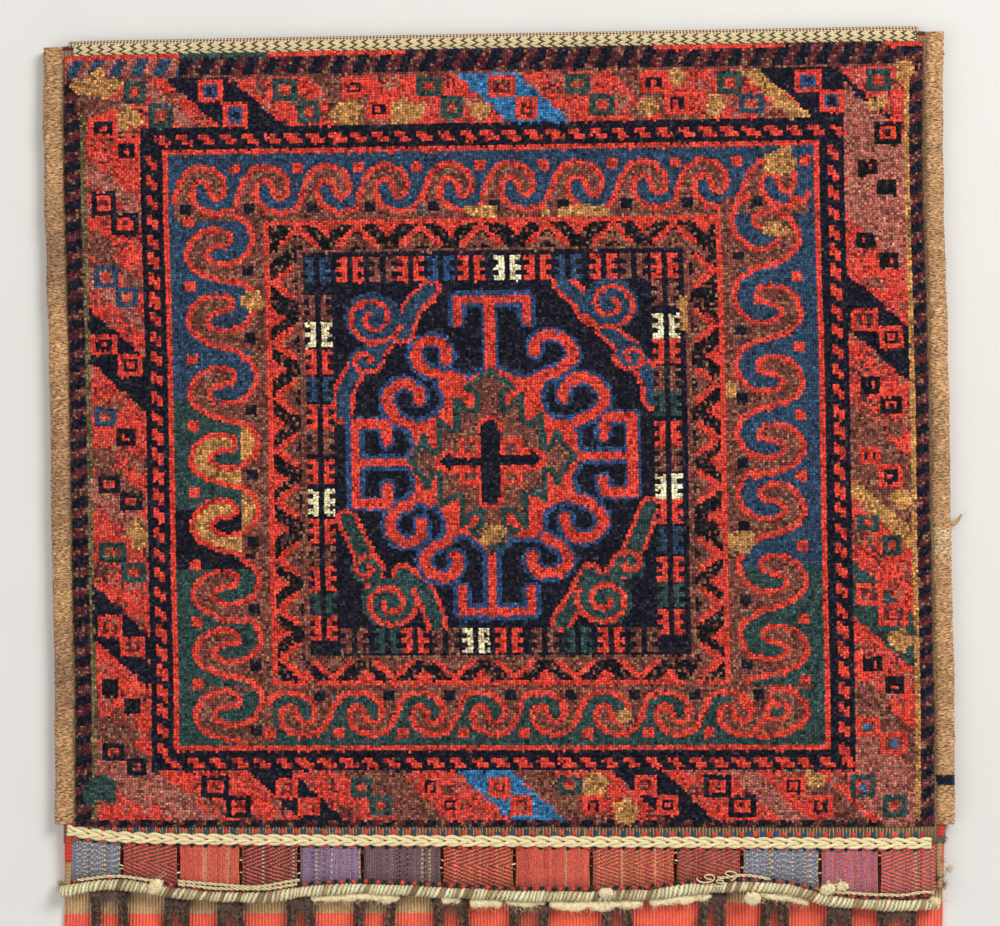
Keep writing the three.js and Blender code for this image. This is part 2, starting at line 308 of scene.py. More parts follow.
def smooth_line(points):
    """A cubic between each two [a, b] points, whose slope at a point is that between its neighbours."""
    known, values = np.array(points, float).T
    before = np.maximum(np.arange(len(known)) - 1, 0)
    after = np.minimum(np.arange(len(known)) + 1, len(known) - 1)
    slopes = (values[after] - values[before]) / (known[after] - known[before])

    def line(at):
        """The cubic's height at a."""
        a = np.clip(at, known[0], known[-1])
        i = np.clip(np.searchsorted(known, a, side="right") - 1, 0, len(known) - 2)
        step = known[i + 1] - known[i]
        t = (a - known[i]) / step
        ends = values[i] * (2 * t**3 - 3 * t**2 + 1) + values[i + 1] * (3 * t**2 - 2 * t**3)
        return ends + (slopes[i] * (t**3 - 2 * t**2 + t) + slopes[i + 1] * (t**3 - t**2)) * step

    return line


middle_x = smooth_line(MIDDLE_LINE)
mouth_shift = smooth_line(MOUTH_LINE)


def mouth_y(x):
    """The mouth's line: Y at a distance from the middle."""
    return MOUTH_Y + mouth_shift(x)


def fold_y(x):
    """The fold's line: Y at a distance from the middle."""
    return FOLD_Y + FOLD_TILT * x


def front_z(across):
    """Height of a pouch's front: level as far as the shoulder, then straight down to the sewn edge."""
    share = np.clip((np.abs(across) - SHOULDER) / (SEAM - SHOULDER), 0, 1)
    return FRONT_TOP + (EDGE_TOP - FRONT_TOP) * share


def spline(points, count):
    """count points on a Catmull-Rom curve through a few points, evenly spaced along its length."""
    known = np.array(points, float)
    known = np.vstack([2 * known[0] - known[1], known, 2 * known[-1] - known[-2]])
    at = np.linspace(0, len(points) - 1 - 1e-9, 12 * count)
    i = at.astype(int)
    t = (at - i)[:, None]
    a, b, c, d = (known[i + k] for k in range(4))
    curve = 0.5 * (2 * b + (c - a) * t + (2 * a - 5 * b + 4 * c - d) * t**2
                   + (3 * b - a - 3 * c + d) * t**3)
    return spaced(curve, count)


def lengths_along(path):
    """Distance along a path to each of its points."""
    return np.concatenate([[0], np.cumsum(np.linalg.norm(np.diff(path, axis=0), axis=1))])


def spaced(path, count):
    """The same path with count points evenly spaced along it."""
    along = lengths_along(path)
    wanted = np.linspace(0, along[-1], count)
    return np.stack([np.interp(wanted, along, path[:, axis]) for axis in range(3)], axis=1)


def ripple(x, y, scale, rng):
    """Smooth noise from -1 to 1: five waves of about one length in directions of their own, added up."""
    turn = rng.uniform(0, 2 * math.pi, 5)
    shift = rng.uniform(0, 2 * math.pi, 5)
    pace = 2 * math.pi / (scale * rng.uniform(0.7, 1.5, 5))
    waves = [np.sin(pace[i] * (x * math.cos(turn[i]) + y * math.sin(turn[i])) + shift[i]) for i in range(5)]
    return sum(waves) / 3


# ---- meshes ----

def paint(mesh, name, colours):
    """Stores a colour for each corner of a mesh's faces."""
    layer = mesh.color_attributes.new(name, "FLOAT_COLOR", "CORNER")
    colours = np.column_stack([colours, np.ones(len(colours))])
    layer.data.foreach_set("color", colours.astype(np.float32).ravel())


class Weave:
    """Gathers the points, faces, dyes and yarn coordinates of one piece, and makes its object."""

    def __init__(self):
        self.points, self.faces, self.dyes, self.yarns = [], [], [], []
        self.count = 0

    def add(self, points, faces, colours, yarns=None):
        """Adds a body: faces is a list of arrays of corners, and colours is one colour or one a point."""
        self.points.append(points)
        self.faces += [corners + self.count for corners in faces]
        self.dyes.append(np.broadcast_to(colours, points.shape))
        self.yarns.append(points[:, :2] if yarns is None else yarns)
        self.count += len(points)

    def make(self, name, letter, material, slot, corner_colours=None):
        """The finished object: at the origin, riding the bag's one body, with its finish and slot."""
        points = np.vstack(self.points) * MM
        if letter == "b":
            points = points * (-1, -1, 1)
        corners = np.concatenate([face.ravel() for face in self.faces]).astype(np.int32)
        sizes = np.concatenate([np.full(len(face), face.shape[1]) for face in self.faces])
        starts = np.concatenate([[0], np.cumsum(sizes)[:-1]]).astype(np.int32)
        mesh = bpy.data.meshes.new(name)
        mesh.vertices.add(len(points))
        mesh.vertices.foreach_set("co", points.astype(np.float32).ravel())
        mesh.loops.add(len(corners))
        mesh.loops.foreach_set("vertex_index", corners)
        mesh.polygons.add(len(sizes))
        mesh.polygons.foreach_set("loop_start", starts)
        mesh.update(calc_edges=True)
        paint(mesh, "dye", np.vstack(self.dyes)[corners] if corner_colours is None else corner_colours)
        yarns = mesh.uv_layers.new(name="yarn")
        yarns.data.foreach_set("uv", np.vstack(self.yarns)[corners].astype(np.float32).ravel())
        mesh.shade_smooth()
        mesh.materials.append(material)
        piece = bpy.data.objects.new(name, mesh)
        bpy.context.scene.collection.objects.link(piece)
        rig.ride(piece, BODY)
        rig.slot(piece, slot)
        return piece


def grid(rows, columns, wrapped=False):
    """Corners of the faces between neighbours of a grid of points, row by row."""
    row, column = np.meshgrid(np.arange(rows - 1), np.arange(columns - (not wrapped)), indexing="ij")
    after = (column + 1) % columns
    here, above = row * columns, (row + 1) * columns
    return np.stack([here + column, here + after, above + after, above + column], axis=-1).reshape(-1, 4)


def border(rows, columns):
    """The points round the outside of a grid, in order, each once."""
    index = np.arange(rows * columns).reshape(rows, columns)
    return np.concatenate([index[0], index[1:, -1], index[-1, -2::-1], index[-2:0:-1, 0]])


def shell(rows, columns):
    """Faces of a closed sheet: a grid of outer points, the same grid of inner points, and the rim."""
    skin, ring, size = grid(rows, columns), border(rows, columns), rows * columns
    after = np.roll(ring, -1)
    rim = np.stack([after, ring, ring + size, after + size], axis=1)
    return [skin, skin[:, ::-1] + size, rim]


def end_caps(values):
    """A tube's values, one a ring and side, with one more for the point at each end."""
    flat = values.reshape(-1, values.shape[-1])
    return np.vstack([flat, flat[:1], flat[-1:]])


def tube(path, radius, sides=8, squash=1.0):
    """A closed tube: rings round a path's points, square to the path, and a point at each end.

    radius is one number, one a ring, or a grid of rings by sides. squash flattens the rings' height.
    Yarn coordinates are the distance along and the distance round, which starts underneath.
    """
    along = np.gradient(path, axis=0)
    along /= np.linalg.norm(along, axis=1, keepdims=True)
    side = np.cross((0, 0, 1), along)
    side /= np.linalg.norm(side, axis=1, keepdims=True)
    up = np.cross(along, side)
    if np.ndim(radius) < 2:
        radius = np.reshape(radius, (-1, 1))
    radius = np.broadcast_to(radius, (len(path), sides))
    turn = -math.pi / 2 + np.arange(sides) * 2 * math.pi / sides
    across = (radius * np.cos(turn))[..., None] * side[:, None]
    rise = (radius * squash * np.sin(turn))[..., None] * up[:, None]
    rings = (path[:, None] + across + rise).reshape(-1, 3)
    points = np.vstack([rings, path[:1], path[-1:]])
    ring = np.arange(sides)
    first, last = len(rings), (len(path) - 1) * sides
    start = np.stack([np.full(sides, first), (ring + 1) % sides, ring], axis=1)
    end = np.stack([np.full(sides, first + 1), last + ring, last + (ring + 1) % sides], axis=1)
    distance = np.repeat(lengths_along(path), sides)
    girth = np.tile(ring / sides, len(path)) * 2 * math.pi * float(np.mean(radius))
    yarns = np.vstack([np.column_stack([distance, girth]), [[distance[0], 0], [distance[-1], 0]]])
    return points, [grid(len(path), sides, wrapped=True), start, end], yarns


def hairs(weave, roots, ways, lengths, thickness, colours, rng):
    """Fine hairs: each a three-sided bar that bends half way along and runs out to a point."""
    count = len(roots)
    ways = ways / np.linalg.norm(ways, axis=1, keepdims=True)
    side = np.cross(ways, rng.normal(size=(count, 3)))
    side /= np.linalg.norm(side, axis=1, keepdims=True)
    other = np.cross(ways, side)
    turn = np.arange(3) * 2 * math.pi / 3
    ring = np.cos(turn)[:, None] * side[:, None] + np.sin(turn)[:, None] * other[:, None]
    length = np.reshape(lengths, (-1, 1))
    bend = rng.normal(size=(count, 3)) * length * 0.22
    middle = roots + ways * length * 0.55 + bend
    tip = roots + ways * length + bend * 1.2
    tip[:, 2] = np.clip(tip[:, 2], 0.3, HAIR_TOP)
    middle[:, 2] = np.clip(middle[:, 2], 0.3, HAIR_TOP)
    low = roots[:, None] + ring * thickness
    high = middle[:, None] + ring * thickness * 0.7
    points = np.concatenate([low, high, tip[:, None]], axis=1).reshape(-1, 3)
    one = np.array([[0, 1, 4], [0, 4, 3], [1, 2, 5], [1, 5, 4], [2, 0, 3], [2, 3, 5],
                    [3, 4, 6], [4, 5, 6], [5, 3, 6], [0, 2, 1]])
    faces = (one[None] + 7 * np.arange(count)[:, None, None]).reshape(-1, 3)
    shades = np.repeat(np.broadcast_to(colours, (count, 3)), 7, axis=0)
    weave.add(points, [faces], shades)


def beads(weave, centres, sizes, turns, colours):
    """Small rounded stitches: stretched balls of six sides and three rings, turned about the Z axis."""
    sides, rings = 6, np.array([-50, 0, 50]) * math.pi / 180
    turn = np.arange(sides) * 2 * math.pi / sides
    ball = np.stack([np.outer(np.cos(rings), np.cos(turn)), np.outer(np.cos(rings), np.sin(turn)),
                     np.repeat(np.sin(rings)[:, None], sides, axis=1)], axis=-1).reshape(-1, 3)
    ball = np.vstack([ball, [0, 0, -1], [0, 0, 1]])
    ring = np.arange(sides)
    after = (ring + 1) % sides
    low = np.stack([np.full(sides, 18), after, ring], axis=1)
    high = np.stack([np.full(sides, 19), 12 + ring, 12 + after], axis=1)
    count = len(centres)
    placed = ball[None] * np.reshape(sizes, (-1, 1, 3))
    c, s = np.cos(turns)[:, None], np.sin(turns)[:, None]
    turned = np.stack([placed[..., 0] * c - placed[..., 1] * s,
                       placed[..., 0] * s + placed[..., 1] * c, placed[..., 2]], axis=-1)
    points = (centres[:, None] + turned).reshape(-1, 3)
    move = 20 * np.arange(count)[:, None, None]
    faces = [(part[None] + move).reshape(-1, part.shape[1]) for part in (grid(3, sides, True), low, high)]
    weave.add(points, faces, np.repeat(np.broadcast_to(colours, (count, 3)), 20, axis=0))


def mottled(colours, count, spread, rng):
    """One colour, or one a point, made lighter and darker at random: hand-spun yarn takes dye unevenly."""
    return np.clip(np.broadcast_to(colours, (count, 3)) * rng.normal(1, spread, (count, 1)), 0, 1)


# ---- the drawing of the pile, in steps across and steps down from the fold, of two knots each ----

STEPS = 156
KNOTS = 2 * STEPS


def rounded(points, count=None):
    """Points on a curve through a few points."""
    flat = [(k, r, 0.0) for k, r in points]
    return [tuple(point[:2]) for point in spline(flat, count or 6 * len(points)).tolist()]


class Chart:
    """A square of knots, each with a dye. Everything is drawn with boxes, lines, patches and rings."""

    def __init__(self):
        steps = (np.arange(KNOTS) + 0.5) * STEPS / KNOTS
        self.r, self.k = np.meshgrid(steps, steps, indexing="ij")
        self.dye = np.full((KNOTS, KNOTS), DYE_NAMES.index("navy"))
        self.rng = np.random.default_rng(40)

    def fill(self, name, inside):
        """Dyes the knots for which inside is true."""
        self.dye[inside] = DYE_NAMES.index(name)

    def box(self, name, k0, r0, k1, r1):
        """A field with straight sides."""
        self.fill(name, (self.k > k0) & (self.k < k1) & (self.r > r0) & (self.r < r1))

    def blot(self, name, k0, r0, k1, r1):
        """A worn field: a box's inner ellipse, whose edge wanders in and out."""
        away = np.hypot((self.k - (k0 + k1) / 2) / (k1 - k0), (self.r - (r0 + r1) / 2) / (r1 - r0)) * 2
        self.fill(name, away < 1.08 + 0.32 * ripple(self.k, self.r, 4.0, self.rng))

    def line(self, name, *points, width=1.2):
        """A line through points: the knots nearer than half its width to one of its stretches."""
        for (k0, r0), (k1, r1) in zip(points, points[1:]):
            rows = self.span(min(r0, r1) - width, max(r0, r1) + width)
            columns = self.span(min(k0, k1) - width, max(k0, k1) + width)
            k, r = self.k[rows, columns], self.r[rows, columns]
            length = (k1 - k0) ** 2 + (r1 - r0) ** 2 or 1
            share = np.clip(((k - k0) * (k1 - k0) + (r - r0) * (r1 - r0)) / length, 0, 1)
            away = np.hypot(k - k0 - share * (k1 - k0), r - r0 - share * (r1 - r0))
            self.dye[rows, columns][away < width / 2] = DYE_NAMES.index(name)

    def span(self, low, high):
        """The knots from one step to another."""
        return slice(max(0, int(low * KNOTS / STEPS)), max(0, int(high * KNOTS / STEPS) + 1))

    def patch(self, name, *points, ragged=0.0):
        """A field inside an outline: a line from each of its knots to the side crosses it an odd
        number of times. A ragged field's edges wander by that many steps."""
        inside = np.zeros(self.k.shape, bool)
        column = self.k + ragged * ripple(self.k, self.r, 2.6, self.rng) if ragged else self.k
        for (k0, r0), (k1, r1) in zip(points, points[1:] + points[:1]):
            if r0 != r1:
                crossing = (self.r > min(r0, r1)) & (self.r <= max(r0, r1))
                inside ^= crossing & (column < k0 + (self.r - r0) * (k1 - k0) / (r1 - r0))
        self.fill(name, inside)

    def square(self, style, k0, r0, k1, r1):
        """One box in another in a third, in a style's three dyes."""
        outer, inner, dot = SQUARES[style]
        middle_k, middle_r = (k0 + k1) / 2, (r0 + r1) / 2
        self.box(outer, k0, r0, k1, r1)
        self.box(inner, k0 + 1, r0 + 1, k1 - 1, r1 - 1)
        self.box(dot, middle_k - 0.6, middle_r - 0.6, middle_k + 0.6, middle_r + 0.6)

    def coil(self, name, fill, k, r, size, start, turns, hand=1):
        """A spiral line round a point, over a filled round field: its radius shrinks evenly as it turns."""
        self.fill(fill, np.hypot(self.k - k, self.r - r) < size)
        share = np.linspace(0, 1, int(20 * turns))
        angle = math.radians(start) + hand * share * turns * 2 * math.pi
        reach = size * (1 - 0.8 * share)
        points = np.column_stack([k + reach * np.cos(angle), r + reach * np.sin(angle)])
        self.line(name, *points.tolist(), width=1.0)


SQUARES = {
    "teal": ("teal", "brown", "red"), "blue": ("red", "blue", "navy"), "navy": ("red", "navy", "red"),
    "ringed": ("navy", "red", "maroon"), "black": ("black", "red", "black"),
    "steel": ("steel", "mauve", "red"), "deep": ("red", "maroon", "red"),
    "sky": ("teal", "red", "bright_blue"), "brown": ("red", "brown", "bright_blue"),
}

# What fills the outer border of each side: slanted stripes (dye, start, end), boxes and squares.
STRIPES = {
    "top": (
        ("mauve", 12, 15), ("navy", 18.5, 30), ("brown", 44, 51), ("bright_blue", 71, 82),
        ("brown", 99, 105), ("camel", 122, 126), ("navy", 126, 140),
    ),
    "left": (
        ("mauve", 20, 24), ("brown", 36, 39), ("mauve", 43, 46), ("navy", 51, 62), ("brown", 79, 83),
        ("mauve", 84, 90), ("navy", 107, 118), ("brown", 132, 137), ("mauve", 138, 144),
    ),
    "right": (
        ("mauve", 8, 34), ("navy", 46, 57), ("brown", 72, 86), ("camel", 86, 90), ("teal", 103, 114),
        ("brown", 126, 134), ("mauve", 134, 150),
    ),
    "bottom": (
        ("mauve", 8, 15), ("navy", 31, 39), ("brown", 49, 58), ("bright_blue", 69, 79), ("brown", 79, 86),
        ("navy", 97, 106), ("mauve", 118, 123), ("brown", 128, 134),
    ),
}
FIELDS = (
    ("camel", 2, 4, 10, 9), ("brown", 2, 8.5, 9, 12), ("camel", 9, 11, 14, 15), ("camel", 49, 10, 54, 15),
    ("camel", 59, 10, 65, 15), ("camel", 74, 11, 77, 14), ("camel", 110, 5, 113, 8),
    ("camel", 104, 11, 108, 14), ("camel", 117, 10, 120, 15), ("camel", 146, 11, 149, 14),
    ("camel", 151, 3, 154, 8), ("brown", 4, 37, 9, 42), ("camel", 10, 94, 14, 99), ("brown", 4, 79, 8, 85),
    ("camel", 149, 88, 152, 93), ("brown", 142, 75, 147, 80), ("brown", 4, 135, 12, 139),
    ("teal", 2, 146, 8, 151), ("red", 4.5, 151.6, 9.5, 153.4), ("camel", 90, 145, 97, 150),
    ("camel", 98, 150, 102, 155), ("camel", 132, 145, 136, 148), ("brown", 141, 129, 147, 133),
    ("camel", 148, 117, 152, 121),
)
BORDER_SQUARES = (
    ("teal", 11, 5.5, 15, 10), ("teal", 15.5, 10, 20, 15), ("blue", 24.3, 5.5, 29, 10),
    ("blue", 29, 10, 33.5, 15), ("teal", 38, 5.5, 42.5, 10), ("teal", 42.5, 10, 46.5, 14.5),
    ("navy", 50.5, 5.5, 55, 9.5), ("navy", 55, 10, 59.3, 14), ("teal", 64, 5.5, 68.5, 9.5),
    ("teal", 68.5, 9.5, 72.5, 14), ("deep", 77, 5.5, 82, 10), ("deep", 82, 10, 86, 14.5),
    ("teal", 91, 5.5, 95.5, 9.5), ("teal", 95.5, 9.5, 100, 14), ("navy", 104.7, 5.5, 109.3, 9.6),
    ("navy", 109, 9.6, 113.3, 14), ("teal", 118.5, 5.5, 123, 10), ("steel", 122.5, 9.8, 127, 14.2),
    ("blue", 132.7, 5.3, 137.5, 9.8), ("blue", 137, 9.6, 141.5, 14), ("teal", 145.5, 5.5, 150, 10),
    ("navy", 4.5, 12.5, 10, 17.2), ("navy", 9, 17.2, 14, 22), ("ringed", 5, 27.5, 9.5, 32.5),
    ("ringed", 8.7, 32, 13.5, 36.3), ("steel", 5, 42.5, 9.5, 47), ("steel", 9, 47, 13, 51),
    ("navy", 4, 56.3, 9, 60.5), ("navy", 9, 60.5, 13.5, 65), ("steel", 4.5, 71, 8.5, 75),
    ("black", 8.7, 75.3, 12.2, 78.8), ("ringed", 5, 84.8, 9.2, 88.5), ("ringed", 9, 88.5, 13.2, 92.2),
    ("teal", 5, 98.5, 10, 102.5), ("teal", 9, 102.5, 13.4, 106.5), ("deep", 4.5, 113, 9, 117.4),
    ("deep", 8.6, 117.4, 13.2, 121.6), ("black", 4.8, 126, 8.2, 129.5), ("black", 8.8, 130, 12.2, 133.2),
    ("ringed", 5, 139.2, 9, 142.6), ("ringed", 9.3, 142, 12.8, 145.4), ("black", 147, 16, 152, 20.6),
    ("black", 144, 23.4, 147.3, 26.7), ("black", 147.5, 27.3, 151, 30.6), ("black", 143.5, 38, 147.2, 41.2),
    ("black", 147.3, 42, 151, 45.2), ("deep", 142, 53, 147, 57.6), ("navy", 147, 56.5, 151.5, 61),
    ("black", 143.3, 66.5, 146.8, 70), ("black", 147.2, 70.6, 150.8, 74.2),
    ("navy", 142.8, 80.3, 147, 84.2), ("navy", 146.4, 84.2, 150.8, 88.6),
    ("teal", 142.6, 93.8, 146.6, 97.2), ("teal", 146.8, 98, 150.6, 101.8), ("deep", 142, 107.5, 147, 112),
    ("deep", 146.2, 111.6, 151.4, 116), ("black", 142.8, 121.8, 146.4, 125.2),
    ("black", 147, 125.8, 150.6, 129.3), ("brown", 141.4, 134, 146, 138.2),
    ("brown", 146, 137.2, 151, 141.4), ("ringed", 23, 145.5, 28, 150), ("ringed", 27.5, 149.5, 32, 153.8),
    ("deep", 36.7, 146, 40.5, 150), ("deep", 40.5, 149.8, 44.3, 153.6), ("teal", 50, 145.8, 54.2, 150),
    ("teal", 53.4, 149.3, 57.6, 153.4), ("navy", 62.3, 145.6, 66.6, 149.8), ("navy", 66, 149.6, 70, 153.6),
    ("deep", 74.8, 146, 79, 150), ("deep", 78.8, 149.6, 82.8, 153.6), ("teal", 87.6, 145.4, 92, 149.4),
    ("navy", 91.8, 149.6, 96, 153.6), ("deep", 101.6, 145.6, 105.6, 149.4),
    ("navy", 105.4, 149.4, 109.4, 153.4), ("ringed", 114, 145.4, 119, 150),
    ("ringed", 118.5, 149.5, 123.5, 153.8), ("navy", 128, 145.6, 132.5, 150),
    ("navy", 133, 149.6, 137.3, 153.8), ("sky", 140.5, 145.6, 145, 150),
    ("teal", 146.4, 149.6, 150.8, 153.8),
)


BORDER_EDGES = {"top": (5, 15.3), "left": (3.8, 14), "right": (141.5, 152.5), "bottom": (144.4, 154.4)}

# Wool of other batches in the red: its dye, how far apart its patches are, and the noise where they start.
BATCHES = (("deep_red", 5, 0.35), ("brown", 8, 0.72), ("mauve", 7, 0.85), ("maroon", 6, 1.0))


def outer_border(chart):
    """The wide border of slanted stripes and pairs of squares."""
    chart.box("red", 3.8, 5, 152.6, 154.4)
    for side, stripes in STRIPES.items():
        low, high = BORDER_EDGES[side]
        lean = high - low
        for name, start, end in stripes:
            corners = ((start, low), (end, low), (end + lean, high), (start + lean, high))
            if side in ("left", "right"):
                corners = tuple((across, along) for along, across in corners)
            chart.patch(name, *corners, ragged=0.35)
    red = chart.dye == DYE_NAMES.index("red")
    for name, size, least in BATCHES:
        patches = ripple(chart.k, chart.r, size, chart.rng) + 0.35 * chart.rng.normal(size=red.shape)
        chart.fill(name, red & (patches > least))
    for name, *place in FIELDS:
        chart.blot(name, *place)
    for style, *place in BORDER_SQUARES:
        chart.square(style, *place)


def guards(chart):
    """The blocks along the outermost edge and the dashes of the navy guard, drawn before what they frame."""
    slanting = (chart.k + 0.4 * chart.r) % 4 < 2
    climbing = (chart.r + 0.4 * chart.k) % 4 < 2
    upright = (chart.k < 4) | (chart.k > 152)
    chart.fill("maroon", np.where(upright, climbing, slanting))
    pale = (chart.r < 5) & (chart.k < 21)
    chart.fill("steel", pale & ~slanting)
    chart.fill("mauve", pale & slanting)
    chart.box("brown", 0, 4.3, STEPS, 5)
    chart.box("olive", 3, 4.4, 4, 154.5)
    chart.box("camel", 152.4, 4.4, 153.5, 154.5)
    chart.box("mauve", 8, 153.9, 150, 154.6)


def navy_guard(chart):
    """Red S shaped dashes in navy: two knots on one row, and two on the next, one knot further."""
    chart.box("navy", 14, 15.2, 141.4, 144.4)
    places = np.arange(16.5, 140, 3.95)
    for at in places:
        for row, shift in ((16.6, 0), (17.7, 1), (141.9, 0), (143, 1)):
            chart.box("red", at + shift, row, at + 2.2 + shift, row + 1)
        if 20 < at:
            for column, shift in ((15, 0), (16, 1), (138.5, 0), (139.5, 1)):
                chart.box("red", column, at + shift, column + 1.1, at + 2.2 + shift)


# Where each running hook of the scroll border starts, along its side.
HOOK_STARTS = {
    "top": (20, 31.5, 43, 53.5, 65, 76, 88, 100, 111, 123),
    "left": (46.5, 60, 74.5, 87.5, 101, 114.5, 126, 139), "right": (45, 59.5, 73, 86, 98.5, 113, 126, 138),
    "bottom": (47, 59, 70, 81, 92, 103.5, 114.5, 126),
}
HOOK = 11.6
DEPTH = 13.3
# One hook's outline, along the border and in from its outer line: from under the ground's curl, in to
# its middle, out to the hook's tip, back over its top and down to where the hook before it starts.
HOOK_LINE = (
    (11.6, 9.4), (10.4, 11.0), (7.8, 11.7), (5.4, 11.1), (3.8, 9.6), (3.3, 7.8), (3.6, 6.2), (4.6, 5.2),
    (5.7, 5.4), (6.4, 6.6), (6.7, 8.0), (7.5, 8.7), (8.6, 8.3), (9.3, 6.6), (8.7, 4.4), (7.2, 3.0),
    (5.0, 2.4), (2.9, 3.0), (1.4, 4.9), (0.5, 7.2), (0.0, 9.4),
)


def scroll_border(chart):
    """Running hooks: brown waves with a red outline, and the ground's blue curling in under each."""
    chart.box("red", 18, 19.5, 137, 140.7)
    chart.box("steel", 19.2, 20.7, 135.8, 139.5)
    chart.box("teal", 19.2, 70, 36, 139.5)
    chart.box("navy", 19.2, 92, 36, 104)
    chart.box("teal", 119, 104, 135.8, 139.5)
    chart.box("teal", 30, 127.5, 125, 139.5)
    for place in ((33.5, 36, 36.2, 126), (119, 36, 121.5, 126), (21, 33, 134, 34.2), (21, 127.3, 134, 128.4)):
        chart.box("brown", *place)
    hook = rounded(HOOK_LINE, 90)
    for side, starts in HOOK_STARTS.items():
        for i, start in enumerate(starts):
            before, after = max(i - 1, 0), min(i + 1, len(starts) - 1)
            size = (starts[after] - starts[before]) / (after - before) / HOOK

            def placed(points, side=side, start=start, size=size):
                """Points of a hook on its own side of the border."""
                deep = {"top": 1, "bottom": -12 / DEPTH, "left": 17 / DEPTH, "right": -17 / DEPTH}[side]
                edge = {"top": 20.7, "bottom": 139.5, "left": 19, "right": 136}[side]
                way = size if side == "top" else -size
                spots = [(start + way * along, edge + deep * depth) for along, depth in points]
                return [(r, k) for k, r in spots] if side in ("left", "right") else spots

            body = placed(hook + [(0, DEPTH), (HOOK, DEPTH)])
            chart.patch("brown", *body)
            if side == "left" and 80 < start < 104:
                chart.patch("camel", *placed(hook))
            chart.line("red", *placed(hook), width=1.1)
            for name, along, depth in (("red", 10.9, 2.9), ("navy", 2.2, 11.0)):
                (k, r), = placed(((along, depth),))
                chart.box(name, k - 1.0, r - 1.0, k + 1.0, r + 1.0)
    for place in ((73, 31.5, 78, 34.5), (88, 31.5, 98.5, 34.5), (127, 21, 133, 26), (32, 48, 36, 52),
                  (119, 97, 124, 101.5), (119, 67, 121, 70), (127, 36, 131, 39), (98, 132.5, 101, 135)):
        chart.blot("camel", *place)


# The inner guard's brown chevrons and red sprigs: the way its side runs, half a chevron's and half a
# sprig's width, where the chevron's feet and peak and the sprig's feet and peak are, and their places.
SPRIGS = (
    ("k", 5.4, 3.3, 41.6, 37.9, 39, 35.6, (42.3, 53, 64.5, 75.5, 87.5, 99.3, 110.5)),
    ("k", 5.4, 3.3, 120, 123.7, 122.8, 126, (47, 58, 69, 80, 91, 102.5)),
    ("r", 5, 3, 43.4, 39.9, 41, 37.6, (46.5, 58.5, 69.5, 80, 90.5, 102, 112, 122)),
    ("r", 5, 3, 111.6, 115.1, 114, 117.4, (45, 56, 67.8, 78.5, 88, 101.5, 111.5, 122.5)),
)
# The red half buds between them: the way, where the base and the tip are, and their places.
BUDS = (
    ("k", 35, 37.6, (47.5, 58.5, 70, 82, 93, 105, 116)),
    ("k", 126.6, 124, (42, 53, 63.5, 74, 85.5, 96.5, 108)),
    ("r", 37, 39.6, (53.5, 64, 75, 86, 96, 107, 117)),
    ("r", 118, 115.4, (62, 73, 83, 94, 107, 118)),
)


def inner_guard(chart):
    """A black guard with brown chevrons, red sprigs on its outer line and half buds between them."""

    def peak(way, at, half, base, tip):
        """A foot, a peak and a foot, on a side that runs across or down."""
        points = ((at - half, base), (at, tip), (at + half, base))
        return points if way == "k" else [(k, r) for r, k in points]

    chart.box("red", 36, 34.2, 119, 127.4)
    chart.box("black", 37.2, 35.2, 117.9, 126.4)
    inside = (chart.k > 37.2) & (chart.k < 117.9) & (chart.r > 35.2) & (chart.r < 126.4)
    chart.fill("brown", inside & (chart.rng.random(inside.shape) < 0.22))
    for way, wide, _, foot, top, _, _, places in SPRIGS:
        for at in places:
            chart.line("brown", *peak(way, at, wide, foot, top), width=1.5)
    for way, _, narrow, _, _, foot, top, places in SPRIGS:
        for at in places:
            chart.line("red", *peak(way, at, narrow, foot, top))
    for way, base, tip, places in BUDS:
        for at in places:
            chart.patch("red", *peak(way, at, 2, base, tip))
    chart.box("brown", 42, 39.8, 113, 122.3)
    chart.box("navy", 43, 40.6, 112, 121.4)


def comb(chart, name, k, r):
    """A pair of combs back to back: an upright on each side of a gap, with three teeth on each."""
    k, r = round(2 * k) / 2, round(2 * r) / 2
    chart.box(name, k, r, k + 5, r + 5)
    for row in (r + 1, r + 3):
        chart.box("navy", k, row, k + 1, row + 1)
        chart.box("navy", k + 4, row, k + 5, row + 1)
    chart.box("navy", k + 2, r, k + 3, r + 5)


COMBS = (
    (
        "top", 41.5,
        (
            ("steel", 43), ("red", 49), ("brown", 55), ("red", 60), ("blue", 65.5), ("red", 71),
            ("ivory", 77.5), ("red", 83), ("steel", 88.5), ("red", 95), ("brown", 100.5), ("red", 106),
        ),
    ),
    (
        "bottom", 116,
        (
            ("brown", 48.5), ("teal", 54.5), ("red", 59.5), ("brown", 65), ("ivory", 70.5), ("red", 76.5),
            ("brown", 83), ("teal", 89), ("red", 95), ("brown", 101),
        ),
    ),
    (
        "left", 43,
        (
            ("brown", 49), ("ivory", 54.7), ("red", 60), ("steel", 65.5), ("red", 71), ("brown", 76),
            ("red", 82), ("ivory", 88.2), ("red", 93.8), ("brown", 99.5), ("red", 103.5), ("teal", 109),
            ("red", 113.5),
        ),
    ),
    (
        "right", 106.2,
        (
            ("brown", 47), ("ivory", 53.3), ("red", 58.5), ("brown", 64), ("teal", 69), ("red", 75),
            ("brown", 80), ("ivory", 85.5), ("red", 90.5), ("steel", 96), ("red", 102), ("teal", 107),
            ("red", 112.5),
        ),
    ),
)

